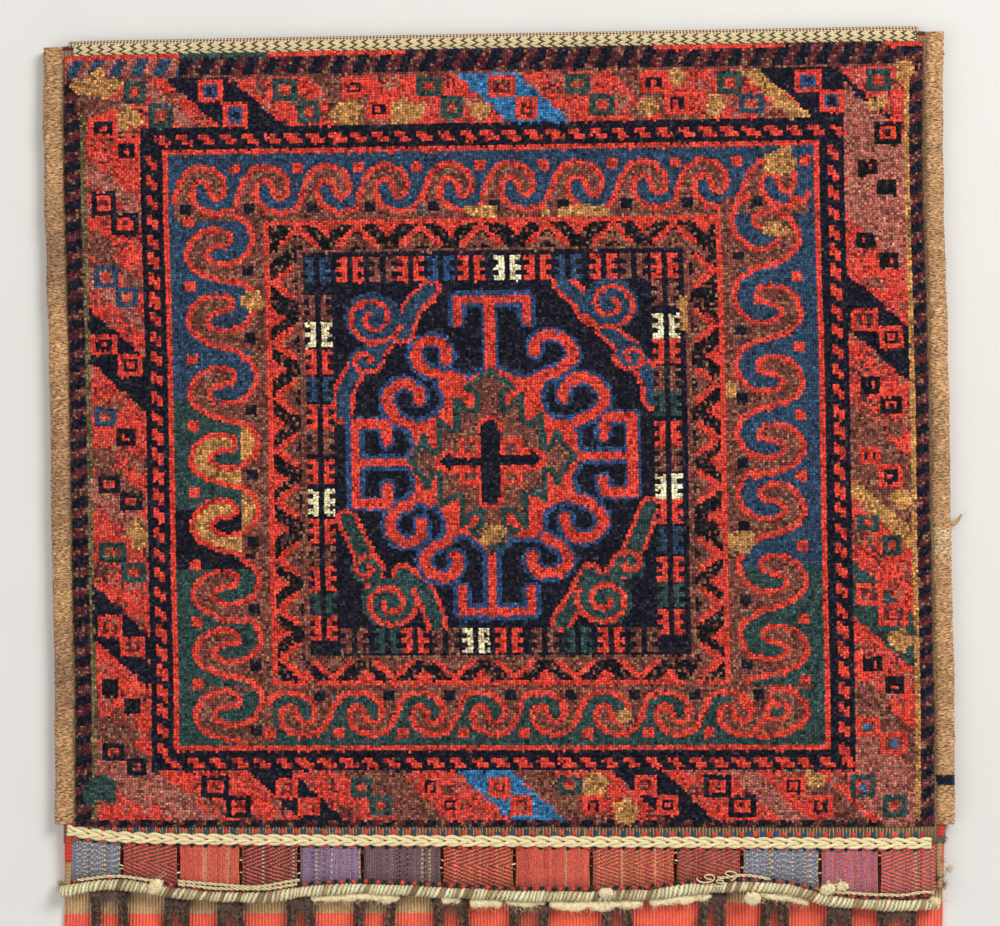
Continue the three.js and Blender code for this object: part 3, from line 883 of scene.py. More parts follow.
# The curls round the medallion, each a red band from its root to its tip.
CURLS = (
    ((71, 66), (65, 64.5), (63, 61.5), (64, 59), (67, 58.5), (68.5, 60.5), (68.5, 62.5)),
    ((63, 76), (59.5, 74), (57.7, 71), (58.5, 68), (61, 67), (63.5, 68.5), (63.5, 70.5)),
    ((85, 66), (89, 64.5), (91.5, 62), (90.5, 59), (87.5, 57.5), (85, 58.5), (84.5, 61)),
    ((92, 75), (96, 72.5), (97, 69.5), (95, 66.7), (92, 66.2), (90, 67.5), (89.7, 70)),
    ((62, 90.5), (59, 92.5), (57.8, 95.5), (59.5, 98.5), (62.5, 98.5), (63.7, 96.5), (63.5, 94.8)),
    ((68, 98.5), (65, 100.5), (64, 103), (66, 105.5), (69, 105.5), (70, 103), (69.7, 101.5)),
    ((91, 90), (94.5, 91.5), (96.5, 94.5), (95, 97.5), (92, 98), (90, 96.5), (89.7, 94)),
    ((86, 98), (89, 100), (90, 103), (88, 105), (85, 105), (83.5, 103.5), (83.5, 101.5)),
)
BRACKETS = (
    ((70.7, 54.5), (70.7, 50.2), (83.3, 50.2), (83.3, 54.5)), ((76.5, 51), (76.5, 65)),
    ((70.7, 108.5), (70.7, 112.8), (83.3, 112.8), (83.3, 108.5)), ((76.3, 99), (76.3, 113)),
    ((57.5, 78.5), (57.5, 75), (51.7, 75), (51.7, 91), (57.5, 91), (57.5, 87.5)), ((53, 82.7), (62, 82.7)),
    ((96.7, 77.5), (97.5, 74), (102, 74), (102, 89), (97, 89), (96.5, 86.5)), ((91, 81.7), (102, 81.7)),
)
BODY_OUTLINE = (
    (76.5, 64), (71, 66.5), (67, 66.5), (68, 70), (66.5, 73.5), (62, 75.5), (62.5, 79.5), (61, 82.5),
    (62.5, 86), (62.5, 90.5), (67, 92), (68, 96), (68, 98.5), (72, 97.5), (76.5, 101), (80, 98), (85, 97.5),
    (86, 92.5), (91, 89.5), (91, 86), (92.5, 82), (92, 79), (91, 75), (87, 74), (85.5, 70), (86, 66.5),
    (82, 66),
)


# The toothed star in the middle, from its top tip round to the right.
STAR = (
    (76.5, 64.4), (78.2, 66), (80.6, 68), (78.6, 68.7), (78.6, 72.6), (80, 71.5), (81.9, 69.3),
    (82.2, 74.8), (83.7, 75.6), (85.6, 73.4), (85.8, 80.5), (87, 80.1), (88.4, 77), (89.3, 79.4),
    (91.7, 82), (90, 83.6), (88.2, 87), (87.4, 84.4), (86, 84.4), (86, 90.6), (84.5, 88.7), (82.2, 88.9),
    (82.4, 95.4), (80.8, 93), (78.6, 92.2), (78.6, 95.7), (80.9, 96.6), (78.5, 98.2), (76.5, 100.4),
    (74.5, 98.2), (72.4, 96.6), (74.6, 95.3), (74.5, 92.4), (72.6, 93.2), (71.1, 95.6), (70.8, 89.6),
    (69.3, 89.6), (67.2, 91.5), (67, 85), (65.6, 85), (64.8, 87.9), (63.7, 85.5), (61.6, 82.5), (63, 80.5),
    (64.1, 77.5), (65.2, 80.5), (66.9, 80.5), (66.9, 74.2), (68.9, 76.4), (70.2, 76.4), (70.2, 70.1),
    (71.9, 72.3), (73.8, 72.8), (73.9, 68.9), (72, 67.9), (74.5, 66),
)


CURL_EYES = ((66, 60.8), (60.8, 70), (88, 60.5), (93, 69.3), (60.8, 96), (67, 103), (93, 95), (86.3, 102.4))
CROSS = (((76.2, 76), (76.2, 90)), ((68.5, 82.8), (84.2, 82.4)))
CROSS_CORNERS = ((70.5, 78.2, 74.6, 82), (78, 78, 82.2, 82), (70.4, 84, 74.6, 87.6), (78, 84, 82.2, 87.6))


def medallion(chart):
    """The red body with its curls and brackets, each edged in blue, and the toothed star inside it."""
    lines = [(rounded(points), 2.0) for points in CURLS] + [(points, 1.9) for points in BRACKETS]
    for points, width in lines:
        chart.line("blue", *points, width=width + 1.5)
    body = rounded(BODY_OUTLINE + BODY_OUTLINE[:1], 120)
    chart.line("blue", *body, width=2.1)
    for points, width in lines:
        chart.line("red", *points, width=width)
    chart.patch("red", *body)
    for k, r in CURL_EYES:
        chart.box("navy", k - 0.9, r - 0.9, k + 0.9, r + 0.9)
    chart.patch("brown", *STAR)
    chart.line("teal", *STAR, STAR[0], width=1.1)
    for points in CROSS:
        chart.line("red", *points, width=4.6)
    for k0, r0, k1, r1 in CROSS_CORNERS:
        chart.box("red", k0, r0, k1, r1)
        chart.box("brown", k0 + 1, r0 + 1, k1 - 1.1, r1 - 1.1)
    for points, width in zip(CROSS, (3.1, 1.8)):
        chart.line("navy", *points, width=width)
    chart.patch("navy", (73.6, 77.6), (76.2, 75.2), (78.8, 77.6))
    chart.patch("navy", (67, 82.8), (69.2, 80.8), (69.2, 84.8))
    chart.patch("navy", (85.6, 82.4), (83.4, 80.4), (83.4, 84.4))
    chart.blot("camel", 74.6, 95.6, 78.4, 99.2)


# The corner branches: a dye, and two arms. The coils on them: a dye, centre, radius, where the spiral
# starts in degrees, and which way it turns.
BRANCHES = (
    ("steel", ((61, 57), (62.5, 52), (66, 48)), ((58, 58), (54, 62), (50.5, 67), (49.5, 73))),
    ("steel", ((95, 54), (93, 50.5), (90, 47.5)), ((97.5, 56.5), (102, 61), (105, 66), (106, 71))),
    ("teal", ((60, 105), (64, 109), (66, 115)), ((55, 107), (53, 101), (50, 94))),
    ("teal", ((94, 105), (91.5, 110), (88.5, 115)), ((98, 106), (102, 100), (105, 92))),
)
COILS = (
    ("steel", 55.4, 53.9, 5.2, 20, 1), ("steel", 98.5, 51.5, 5.2, 160, -1), ("teal", 57.5, 111, 5.2, -30, 1),
    ("teal", 96.5, 110.5, 5.2, 210, -1), ("steel", 54, 62.3, 3.0, 0, 1), ("steel", 102, 62, 3.0, 180, -1),
    ("teal", 53.5, 104, 3.0, 0, -1), ("teal", 101, 103.3, 3.0, 180, 1),
)


def corners(chart):
    """Four forked branches with coiled ends, with a red outline and steel or teal inside."""
    for name, *arms in BRANCHES:
        for points in arms:
            chart.line("red", *rounded(points), width=4.2)
        for points in arms:
            chart.line(name, *rounded(points), width=2.5)
    for name, k, r, size, start, hand in COILS:
        chart.coil("red", name, k, r, size, start, 1.6 if size > 3 else 1.1, hand)


# Where the knots next to the fold are red or teal: a dye, and where it starts and ends.
FOLD_KNOTS = (("red", 0, 21), ("teal", 21, 37), ("red", 37, 62), ("red", 107, 131), ("red", 149, 156))


@functools.lru_cache(None)
def draw_pile():
    """The whole drawing, from the outside in: an array of dye numbers, row by row from the fold."""
    chart = Chart()
    guards(chart)
    outer_border(chart)
    navy_guard(chart)
    scroll_border(chart)
    inner_guard(chart)
    corners(chart)
    for side, at, row in COMBS:
        for name, place in row:
            comb(chart, name, *((place, at) if side in ("top", "bottom") else (at, place)))
    chart.box("camel", 111, 50, 112.4, 57)
    medallion(chart)
    for name, k0, k1 in FOLD_KNOTS:
        chart.box(name, k0, 0, k1, 1.2)
    return chart.dye


# ---- materials ----

def add(tree, kind, inputs, output=0, **settings):
    """Adds a shader node with its settings, fills or links its inputs, and returns one of its outputs.

    inputs has each value by its socket's name or number, or the first sockets' values in order.
    """
    new = tree.nodes.new(f"ShaderNode{kind}")
    for name, value in settings.items():
        setattr(new, name, value)
    for name, value in inputs.items() if isinstance(inputs, dict) else enumerate(inputs):
        if isinstance(value, bpy.types.NodeSocket):
            tree.links.new(value, new.inputs[name])
        else:
            new.inputs[name].default_value = value
    return new.outputs[output]


def start_material(name, roughness, sheen, sheen_roughness=0.6, specular=0.15):
    """A new matt material, not metallic, with the soft rim of light that fibres give cloth.

    Gives back the material, its tree, and where its patterns come from: the yarns' own dye, the
    coordinates that run across and along the yarns, and the place on the bag in metres.
    """
    made = bpy.data.materials.new(name)
    made.use_nodes = True
    tree = made.node_tree
    shader = tree.nodes["Principled BSDF"]
    for socket, value in (("Roughness", roughness), ("Specular IOR Level", specular),
                          ("Sheen Weight", sheen), ("Sheen Roughness", sheen_roughness)):
        shader.inputs[socket].default_value = value
    dyed = add(tree, "Attribute", {}, "Color", attribute_name="dye")
    yarns = add(tree, "UVMap", {}, uv_map="yarn")
    place = add(tree, "TexCoord", {}, "Object")
    return made, tree, dyed, yarns, place


def show(tree, colour, light, height, relief):
    """Ends a material: a colour made lighter or darker, and a height that raises it by metres of relief."""
    shader = tree.nodes["Principled BSDF"]
    lit = add(tree, "VectorMath", {0: colour, "Scale": light}, operation="SCALE")
    tree.links.new(lit, shader.inputs["Base Color"])
    if relief:
        normal = add(tree, "Bump", {"Height": height, "Distance": relief})
        tree.links.new(normal, shader.inputs["Normal"])


def band_scale(period):
    """A wave texture's scale for bands a period apart."""
    return math.pi / 10 / period


def pile_wool():
    """Clipped wool knots: matt, a little darker between the ends, with a faint rim of light."""
    made, tree, dyed, knots, place = start_material("knotted_wool_pile", 0.95, 0.03, specular=0.05)
    # Painted shade in dark lines between the ends and between the rows, a knot apart, and fibres of
    # about 1 mm: finer ones would not show.
    ends = add(tree, "TexWave", {"Vector": knots, "Scale": band_scale(1.0)}, "Fac")
    rows = add(tree, "TexWave", {"Vector": knots, "Scale": band_scale(1.0)}, "Fac", bands_direction="Y")
    fibres = add(tree, "TexNoise", {"Vector": place, "Scale": 1 / (1.1 * MM), "Detail": 3.0})
    end_light = add(tree, "MapRange", (ends, 0, 1, 0.66, 1.06))
    row_light = add(tree, "MapRange", (rows, 0, 1, 0.72, 1.06))
    fibre_light = add(tree, "MapRange", (fibres, 0.35, 0.65, 0.55, 1.7))
    fibre_height = add(tree, "MapRange", (fibres, 0.2, 0.8, 0.4, 1.0))
    lie = add(tree, "Math", (end_light, row_light), operation="MULTIPLY")
    light = add(tree, "Math", (lie, fibre_light), operation="MULTIPLY")
    height = add(tree, "Math", (lie, fibre_height), operation="MULTIPLY")
    show(tree, dyed, light, height, 1.2 * MM)
    return made


def kilim_wool():
    """Weft-faced wool weave: fine hard ribs along the warps, crossed by packed wefts, quite matt."""
    made, tree, dyed, yarns, place = start_material("weft_faced_wool", 0.9, 0.1)
    # Warps 2.3 mm apart, wefts drawn 1 mm apart so that they show, and dye that took in patches.
    ribs = add(tree, "TexWave", {"Vector": yarns, "Scale": band_scale(2.3)}, "Fac")
    wefts = add(tree, "TexWave", {"Vector": yarns, "Scale": band_scale(1.0)}, "Fac", bands_direction="Y")
    fluff = add(tree, "TexNoise", {"Vector": place, "Scale": 1 / (1.1 * MM), "Detail": 3.0})
    patchy = add(tree, "TexNoise", {"Vector": place, "Scale": 1 / (14 * MM), "Detail": 2.0})
    # The ribs' and wefts' bands paint shade between the yarns; the fluff and patches vary the dye.
    light = add(tree, "MapRange", (ribs, 0, 0.8, 0.68, 1.25))
    for value, low, high, dark, bright in (
            (wefts, 0, 1, 0.82, 1.05), (fluff, 0.3, 0.7, 0.75, 1.25), (patchy, 0.3, 0.7, 0.88, 1.12)):
        more = add(tree, "MapRange", (value, low, high, dark, bright))
        light = add(tree, "Math", (light, more), operation="MULTIPLY")
    packed = add(tree, "MapRange", (wefts, 0, 1, 0.75, 1))
    height = add(tree, "Math", (ribs, packed), operation="MULTIPLY")
    show(tree, dyed, light, height, 0.9 * MM)
    return made


def twined_wool():
    """Two-coloured twined ribs: a rib changes dye for each whole step of its second yarn coordinate."""
    made, tree, first, yarns, place = start_material("twined_wool", 0.88, 0.1)
    second = add(tree, "Attribute", {}, "Color", attribute_name="second_dye")
    turns = add(tree, "TexWave", {"Vector": yarns, "Scale": band_scale(1.0)}, "Fac", bands_direction="Y")
    edges = add(tree, "TexWave", {"Vector": yarns, "Scale": band_scale(0.5)}, "Fac", bands_direction="Y")
    fluff = add(tree, "TexNoise", {"Vector": place, "Scale": 1 / (0.8 * MM), "Detail": 3.0})
    choice = add(tree, "MapRange", (turns, 0.4, 0.6, 0, 1))
    blend = add(tree, "Mix", {0: choice, 6: first, 7: second}, 2, data_type="RGBA")
    # Painted shade: bands across each rib make it lighter and darker between the stitches.
    edge_light = add(tree, "MapRange", (edges, 0, 0.6, 1.15, 0.85))
    fluff_light = add(tree, "MapRange", (fluff, 0.35, 0.65, 0.6, 1.5))
    light = add(tree, "Math", (edge_light, fluff_light), operation="MULTIPLY")
    height = add(tree, "Math", (edges, fluff), operation="ADD")
    show(tree, blend, light, height, 0.25 * MM)
    return made


def spun_wool():
    """Hand-spun plied yarn: matt wool with fine slanting plies and specks where the dye took unevenly."""
    made, tree, dyed, yarns, place = start_material("hand_spun_wool_yarn", 0.88, 0.12)
    slanted = add(tree, "Mapping", {"Vector": yarns, "Rotation": (0, 0, math.radians(35))})
    plies = add(tree, "TexWave", {"Vector": slanted, "Scale": band_scale(0.9)}, "Fac")
    fluff = add(tree, "TexNoise", {"Vector": place, "Scale": 1 / (0.7 * MM), "Detail": 3.0})
    # Painted shade: the plies' bands darken the colour between the plies.
    ply_light = add(tree, "MapRange", (plies, 0, 1, 0.8, 1.05))
    fluff_light = add(tree, "MapRange", (fluff, 0.3, 0.7, 0.75, 1.25))
    light = add(tree, "Math", (ply_light, fluff_light), operation="MULTIPLY")
    height = add(tree, "Math", (plies, fluff), operation="ADD")
    show(tree, dyed, light, height, 0.2 * MM)
    return made


def goat_hair():
    """Coarse goat hair: streaky, smoother and a little shinier than wool, light and dark hairs mixed."""
    made, tree, dyed, yarns, _ = start_material("coarse_goat_hair", 0.7, 0.2, 0.4)
    # Hairs lie across the bar at a slant, so the noise is stretched that way.
    turned = (0, 0, math.radians(-40))
    streaked = add(tree, "Mapping", {"Vector": yarns, "Rotation": turned, "Scale": (2.2, 0.7, 1)})
    streaks = add(tree, "TexNoise", {"Vector": streaked, "Scale": 1 / 2.1, "Detail": 4.0})
    patchy = add(tree, "TexNoise", {"Vector": yarns, "Scale": 1 / 9.0, "Detail": 2.0})
    streak_light = add(tree, "MapRange", (streaks, 0.35, 0.65, 0.3, 1.75))
    patch_light = add(tree, "MapRange", (patchy, 0.3, 0.7, 0.85, 1.15))
    light = add(tree, "Math", (streak_light, patch_light), operation="MULTIPLY")
    show(tree, dyed, light, streaks, 1.4 * MM)
    return made


def loose_hair():
    """Single hairs and unspun fleece: soft, with no pattern but the clumps' light and dark."""
    made, tree, dyed, _, place = start_material("loose_hair_and_fleece", 0.8, 0.3)
    clumps = add(tree, "TexNoise", {"Vector": place, "Scale": 1 / (1.6 * MM), "Detail": 4.0})
    light = add(tree, "MapRange", (clumps, 0.3, 0.7, 0.72, 1.2))
    show(tree, dyed, light, clumps, 0.8 * MM)
    return made


def checked_wool():
    """Small maroon and ivory stitches, turn about: matt, and lighter where a pale yarn comes up."""
    made, tree, _, yarns, _ = start_material("checked_wool_weave", 0.9, 0.1)
    across = add(tree, "TexWave", {"Vector": yarns, "Scale": band_scale(2.3)}, "Fac")
    along = add(tree, "TexWave", {"Vector": yarns, "Scale": band_scale(2.0)}, "Fac", bands_direction="Y")
    check = add(tree, "Math", (across, along), operation="ADD")
    pale = add(tree, "MapRange", (check, 0.9, 1.1, 0, 1))
    maroon, ivory = dye("maroon") * 1.3, dye("ivory") * 0.8
    blend = add(tree, "Mix", {0: pale, 6: (*maroon, 1), 7: (*ivory, 1)}, 2, data_type="RGBA")
    show(tree, blend, 1.0, check, 0.5 * MM)
    return made


def studio_paper():
    """A plain pale matt floor with the faintest mottle, like a roll of backdrop paper."""
    made, tree, _, _, place = start_material("pale_backdrop_paper", 0.9, 0.0)
    mottle = add(tree, "TexNoise", {"Vector": place, "Scale": 1 / (60 * MM), "Detail": 2.0})
    light = add(tree, "MapRange", (mottle, 0.3, 0.7, 0.99, 1.01))
    show(tree, tuple(linear(PAPER)), light, mottle, 0)
    return made


MAKERS = {
    "pile": pile_wool, "kilim": kilim_wool, "twined": twined_wool, "yarn": spun_wool, "goat": goat_hair,
    "loose": loose_hair, "check": checked_wool, "floor": studio_paper,
}


@functools.lru_cache(None)
def finish_of(name):
    """The material of that name, made the first time that it is asked for."""
    return MAKERS[name]()


def draws(number, letter):
    """Random numbers for one piece of one pouch, the same each time."""
    return np.random.default_rng([number, POUCHES.index(letter)])


# ---- pieces ----

def mat(weave, top, under, colours, yarns):
    """A closed mat: a grid of top points, a skirt down to the underside's height, and long strips below."""
    rows, columns = top.shape[:2]
    ring = border(rows, columns)
    low = top.reshape(-1, 3)[ring].copy()
    low[:, 2] = under.ravel()[ring]
    below = rows * columns + np.arange(len(ring))
    after = np.roll(np.arange(len(ring)), -1)
    skirt = np.stack([below, below[after], ring[after], ring], axis=1)
    far = below[columns + rows - 2:2 * columns + rows - 2][::-1]
    near = below[:columns]
    strips = np.stack([near[1:-2], far[1:-2], far[2:-1], near[2:-1]], axis=1)
    left_side, right_side = below[2 * columns + rows - 2:][::-1], below[columns:columns + rows - 2][::-1]
    left = np.concatenate([[near[0]], left_side, [far[0], far[1], near[1]]])
    right = np.concatenate([[near[-2], far[-2], far[-1]], right_side, [near[-1]]])
    points = np.vstack([top.reshape(-1, 3), low])
    # The skirt's lower ring is painted at 0.6 of its colour: painted shade under the mat's edge.
    shades = np.vstack([colours, colours[ring] * 0.6])
    places = np.vstack([yarns, yarns[ring]])
    weave.add(points, [grid(rows, columns), skirt, strips, left[None], right[None]], shades, places)


def build_pile(letter, sizes):
    """The knotted pile: one face a knot, whose corners stand at uneven heights and wander a little.

    A corner's height is the pile's, lower where the wool is brown, plus noise. Its place is the
    knot's own, moved at random. A knot's dye is the drawing's, or now and then its neighbour's.
    """
    rng = draws(1, letter)
    drawn = draw_pile()
    moved = np.roll(drawn, rng.integers(-1, 2), axis=1)
    dyes = np.where(rng.random(drawn.shape) < 0.10, moved, drawn)
    dyes = np.where(rng.random(drawn.shape) < 0.10, np.roll(drawn, 1, axis=0), dyes)
    dyes[0], dyes[:, 0], dyes[:, -1] = drawn[0], drawn[:, 0], drawn[:, -1]
    dyes = dyes[::-1]
    count = KNOTS + 1
    low_wool = [DYE_NAMES.index(name) for name in ("brown", "mauve", "maroon", "camel", "olive")]
    worn = np.isin(dyes, low_wool)
    k, r = np.meshgrid(np.arange(KNOTS), np.arange(KNOTS))
    height = sizes.pile_height / MM * np.where(worn, 0.74, 0.94)
    height += 0.22 * ripple(k, r, 44, rng) + 0.15 * ripple(k, r, 7, rng)
    # Worn wool shows the pale warps under it. The other dyes only vary, apart from the painted shade below.
    palette = np.array([dye(name) for name in DYE_NAMES])
    colours = palette[dyes] * np.exp(rng.normal(0.03, 0.36, dyes.shape))[..., None]
    colours *= (1 + 0.10 * ripple(0 * r, r, 30, rng) + 0.10 * ripple(k, r, 12, rng))[..., None]
    showing = worn & (rng.random(dyes.shape) < 0.17)
    colours[showing] = 0.42 * dye("tan") + 0.58 * colours[showing]
    # Painted shade for the gaps between tufts: some knots, more of the worn ones, at 0.38.
    dark = rng.random(dyes.shape) < np.where(worn, 0.16, 0.10)
    colours[dark] *= 0.38
    # Fibre ends catch a little light, even in the darkest wool.
    colours += rng.exponential(0.010, dyes.shape)[..., None] * (1.0, 0.8, 0.85)
    padded = np.pad(height, 1, mode="edge")
    z = (padded[1:, 1:] + padded[:-1, 1:] + padded[1:, :-1] + padded[:-1, :-1]) / 4
    z = z + np.clip(rng.normal(0, 0.26, z.shape), -0.7, 0.6)
    across = np.linspace(-PILE_HALF, PILE_HALF, count)[None]
    y = PILE_BOTTOM + (fold_y(across) - PILE_SETBACK - PILE_BOTTOM) * np.linspace(0, 1, count)[:, None]
    x = middle_x(y) + across
    floor = front_z(across) + PILE_LIFT + 0 * y
    x = x + np.clip(rng.normal(0, 0.28, x.shape), -0.6, 0.6)
    y = y + np.clip(rng.normal(0, 0.25, y.shape), -0.55, 0.55)
    edge = np.ones((count, count))
    edge[[0, -1]], edge[:, [0, -1]] = 0.45, 0.45
    top = np.stack([x, y, floor + z * edge], axis=-1)
    u, v = np.meshgrid(np.arange(count), np.arange(count))
    weave = Weave()
    mat(weave, top, floor, np.zeros((count * count, 3)), np.column_stack([u.ravel(), v.ravel()]))
    # One dye a knot, so that its outline is sharp.
    knot_colours = np.repeat(colours.reshape(-1, 3), 4, axis=0)
    total = sum(face.size for face in weave.faces)
    # The pile's sides and underside are painted dark tan, at 0.4: painted shade at its edge.
    rest = np.broadcast_to(dye("tan") * 0.4, (total - len(knot_colours), 3))
    piece = weave.make(f"pile_{letter}", letter, finish_of("pile"), "pile_wool",
                       corner_colours=np.clip(np.vstack([knot_colours, rest]), 0, 1))
    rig.replaces(piece, f"knotted_pile_{letter}")
    return piece


DYE_EDGES = (113.6, 120.4)
CROWDING = 1.35


def cloth_rows(step_level, step_fold):
    """The web's length as rows, from the mouth of pouch a round to the mouth of pouch b.

    Each row is which pouch (1 or -1), how far round the fold (0 back to pi front), and the share of the
    way along the straight stretch that it is on.
    """
    front = [(math.pi, share) for share in np.linspace(0, 1, step_level)]
    fold = [(turn, 1.0) for turn in np.linspace(math.pi, 0, step_fold)[1:-1]]
    edges = (np.array(DYE_EDGES) / (FOLD_Y - FOLD_RADIUS)) ** (1 / CROWDING)
    shares = np.concatenate([np.linspace(1, 0, 2 * step_level), edges])
    back = [(0.0, share) for share in np.sort(shares)[::-1]]
    half = [(1, turn, share) for turn, share in front + fold + back]
    return half + [(-1, turn, share) for _, turn, share in half[-2::-1]]


def web_dyes_and_front_shade(x, y, turn):
    """Red wool on bridge and back, undyed tan by each mouth, maroon round the fold, tan in front."""
    colours = np.broadcast_to(dye("coral") * 1.25, (*y.shape, 3)).copy()
    colours[(y > np.where(x < -40, *DYE_EDGES)) & (y < 140) & (turn < 0.01)] = dye("tan") * 1.3
    colours[turn > 0.01] = dye("maroon")
    # Painted shade: the front lies under the pile and closure strip, so its tan is painted at 0.6.
    colours[turn > math.pi - 0.01] = dye("tan") * 0.6
    return colours


def build_web(sizes):
    """The one web. Its middle surface runs flat, round a half circle at each fold, and flat again."""
    rng = draws(2, "a")
    web = WEB - WEB_CLEARANCE
    across = np.concatenate([[-WEB_HALF], np.linspace(-300, 300, 57), [WEB_HALF]])[None]
    rows = cloth_rows(22, 9)
    pouch = np.array([row[0] for row in rows])[:, None]
    turn = np.array([row[1] for row in rows])[:, None]
    share = np.array([row[2] for row in rows])[:, None]
    a = across * pouch
    end = fold_y(a) - FOLD_RADIUS
    is_front = turn > math.pi - 1e-6
    start = np.where(is_front, TAB_TOP_Y - 1.5, 0)
    # The back's rows crowd towards the bridge, which is the part that shows.
    along = np.where(is_front, share, share ** CROWDING)
    y = start + (end - start) * along
    edge_lift = EDGE_FOOT * np.interp(np.abs(a), (LIFT_START, SEAM), (0, 1))
    rise = edge_lift * np.interp(y, (MOUTH_Y, MOUTH_Y + 30), (0, 1))
    low, high = rise + web / 2, front_z(a) - web / 2
    z = (low + high) / 2 - (high - low) / 2 * np.cos(turn)
    reach = (high - low) / 2 * np.sin(turn)
    lift = np.where(y < MOUTH_Y - 8, 0.35 * (1 + ripple(across, y * pouch, 70, rng)), 0)
    normal_y, normal_z = np.sin(turn), -np.cos(turn)
    sides = []
    for half in (web / 2, -web / 2):
        py = y + reach + half * normal_y
        pz = z + half * normal_z + np.where(turn < 0.01, lift, 0) * (0.3 if half > 0 else 1)
        px = middle_x(np.maximum(y, 0)) + a
        sides.append(np.stack([px * pouch, py * pouch, pz], axis=-1))
    outer, inner = sides
    outer[..., 2] = np.maximum(outer[..., 2], 0)
    distance = np.concatenate([[0], np.cumsum(np.abs(np.diff(y[:, 29])) + 2.2 * np.abs(np.diff(turn[:, 0])))])
    yarns = np.stack([across + 0 * y, distance[:, None] + 0 * y], axis=-1).reshape(-1, 2)
    points = np.vstack([outer.reshape(-1, 3), inner.reshape(-1, 3)])
    weave = Weave()
    weave.add(points, shell(*y.shape), dye("coral"), np.vstack([yarns] * 2))
    # One dye a face, so that the line where the yarn changes is sharp.
    corners = np.vstack(weave.faces) % y.size
    places = (a.ravel(), y.ravel(), np.broadcast_to(turn, y.shape).ravel())
    corner_colours = np.repeat(web_dyes_and_front_shade(*(values[corners].mean(axis=1) for values in places)), 4, axis=0)
    piece = weave.make("woven_web", "a", finish_of("kilim"), "kilim_wool", corner_colours=corner_colours)
    fronts = [f"pouch_{part}_{letter}" for part in ("front", "fold") for letter in POUCHES]
    seams = [f"side_seam_{letter}_{side}" for letter in POUCHES for side in ("left", "right")]
    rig.replaces(piece, "ground_cloth", *fronts, *seams)
    return piece


def edge_path(side, distance, start, setback, z, count):
    """A line beside a pouch, at a distance from its middle line, from a Y to short of the fold."""
    y = np.linspace(start, fold_y(side * distance) - setback, count)
    return np.column_stack([middle_x(y) + side * distance, y, np.broadcast_to(z, y.shape)])


def build_binding(letter, side, sizes):
    """Goat hair wrapped round the sewn edge: a bar whose width swells and falls with each slanting wrap."""
    rng = draws(3 + (side > 0), letter)
    count, sides = 440, 12
    path = edge_path(side, BINDING_HALF, BINDING_START, BINDING_SETBACK, BINDING_HEIGHT / 2, count)
    path[:, 0] += 0.5 * ripple(path[:, 1], 0 * path[:, 1], 45, rng)
    turn = -math.pi / 2 + np.arange(sides) * 2 * math.pi / sides
    along = lengths_along(path)
    wrap = along[:, None] / 3.3 + turn[None] / (2 * math.pi) * 3 * side
    swell = np.abs(np.sin(math.pi * wrap))
    # A rounded box: flatter above and below than a circle.
    section = 1 / (np.abs(np.cos(turn)) ** 3.2 + np.abs(np.sin(turn)) ** 3.2) ** (1 / 3.2)
    radius = BINDING_WIDTH / 2 * section[None] * (0.9 + 0.1 * swell + 0.03 * rng.normal(size=(count, sides)))
    points, faces, yarns = tube(path, radius, sides, BINDING_HEIGHT / BINDING_WIDTH)
    points[:, 2] = np.maximum(points[:, 2], 0.0)
    shade = rng.normal(1, 0.07, 400)[np.clip(wrap.astype(int) + 20, 0, 399)]
    # Painted shade: each wrap is lighter where it swells and darker in the groove before the next.
    light = shade * (0.82 + 0.2 * swell) * np.exp(rng.normal(0, 0.14, swell.shape))
    # The left binding gets more dark hair than the right: darker hair, and a painted shade on the left side.
    dark_hair_and_shade = np.clip(0.35 + 0.5 * ripple(points[:, 1], 0 * points[:, 1], 120, rng), 0, 0.8)[:, None]
    dark_hair_and_shade = dark_hair_and_shade * (0.8 if side < 0 else 0.25)
    colours = (dye("goat") * (1 - dark_hair_and_shade) + dye("dark_goat") * 2.0 * dark_hair_and_shade) * end_caps(light[..., None])
    if letter == "a" and side > 0:
        worn = np.abs(points[:, 1] - 372) < 9
        colours[worn] = colours[worn] * 0.6 + dye("ivory") * 0.3
        dark = np.abs(points[:, 1] - 207) < 4
        colours[dark] = dye("navy") * 1.2
    weave = Weave()
    weave.add(points, faces, np.clip(colours, 0, 1), yarns)
    name = "left" if side < 0 else "right"
    piece = weave.make(f"side_binding_{letter}_{name}_hair_wrap", letter, finish_of("goat"), "goat_hair")
    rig.replaces(piece, f"side_binding_{letter}_{name}")
    return piece


def build_binding_hairs(letter, sizes):
    """Hairs that stand out of the bindings, lying mostly along the wraps."""
    rng = draws(5, letter)
    weave = Weave()
    count = sizes.binding_hairs
    for side in (-1, 1):
        path = edge_path(side, BINDING_HALF, BINDING_START, BINDING_SETBACK, BINDING_HEIGHT / 2, 400)
        at = rng.integers(0, 399, count)
        turn = rng.uniform(-0.35, math.pi + 0.35, count)
        out = np.column_stack([np.cos(turn), 0 * turn, np.sin(turn)])
        roots = path[at] + out * (BINDING_WIDTH / 2 - 0.9, 1, BINDING_HEIGHT / 2 - 0.5)
        slant = np.column_stack([np.full(count, -0.6 * side), rng.normal(-0.9, 0.4, count), 0 * turn])
        ways = out * 0.5 + slant
        shades = dye("goat") * rng.uniform(0.3, 1.8, (count, 1))
        hairs(weave, roots, ways, rng.uniform(2.2, 5.5, count), 0.16, np.clip(shades, 0, 1), rng)
    return weave.make(f"binding_hairs_{letter}", letter, finish_of("loose"), "goat_hair")


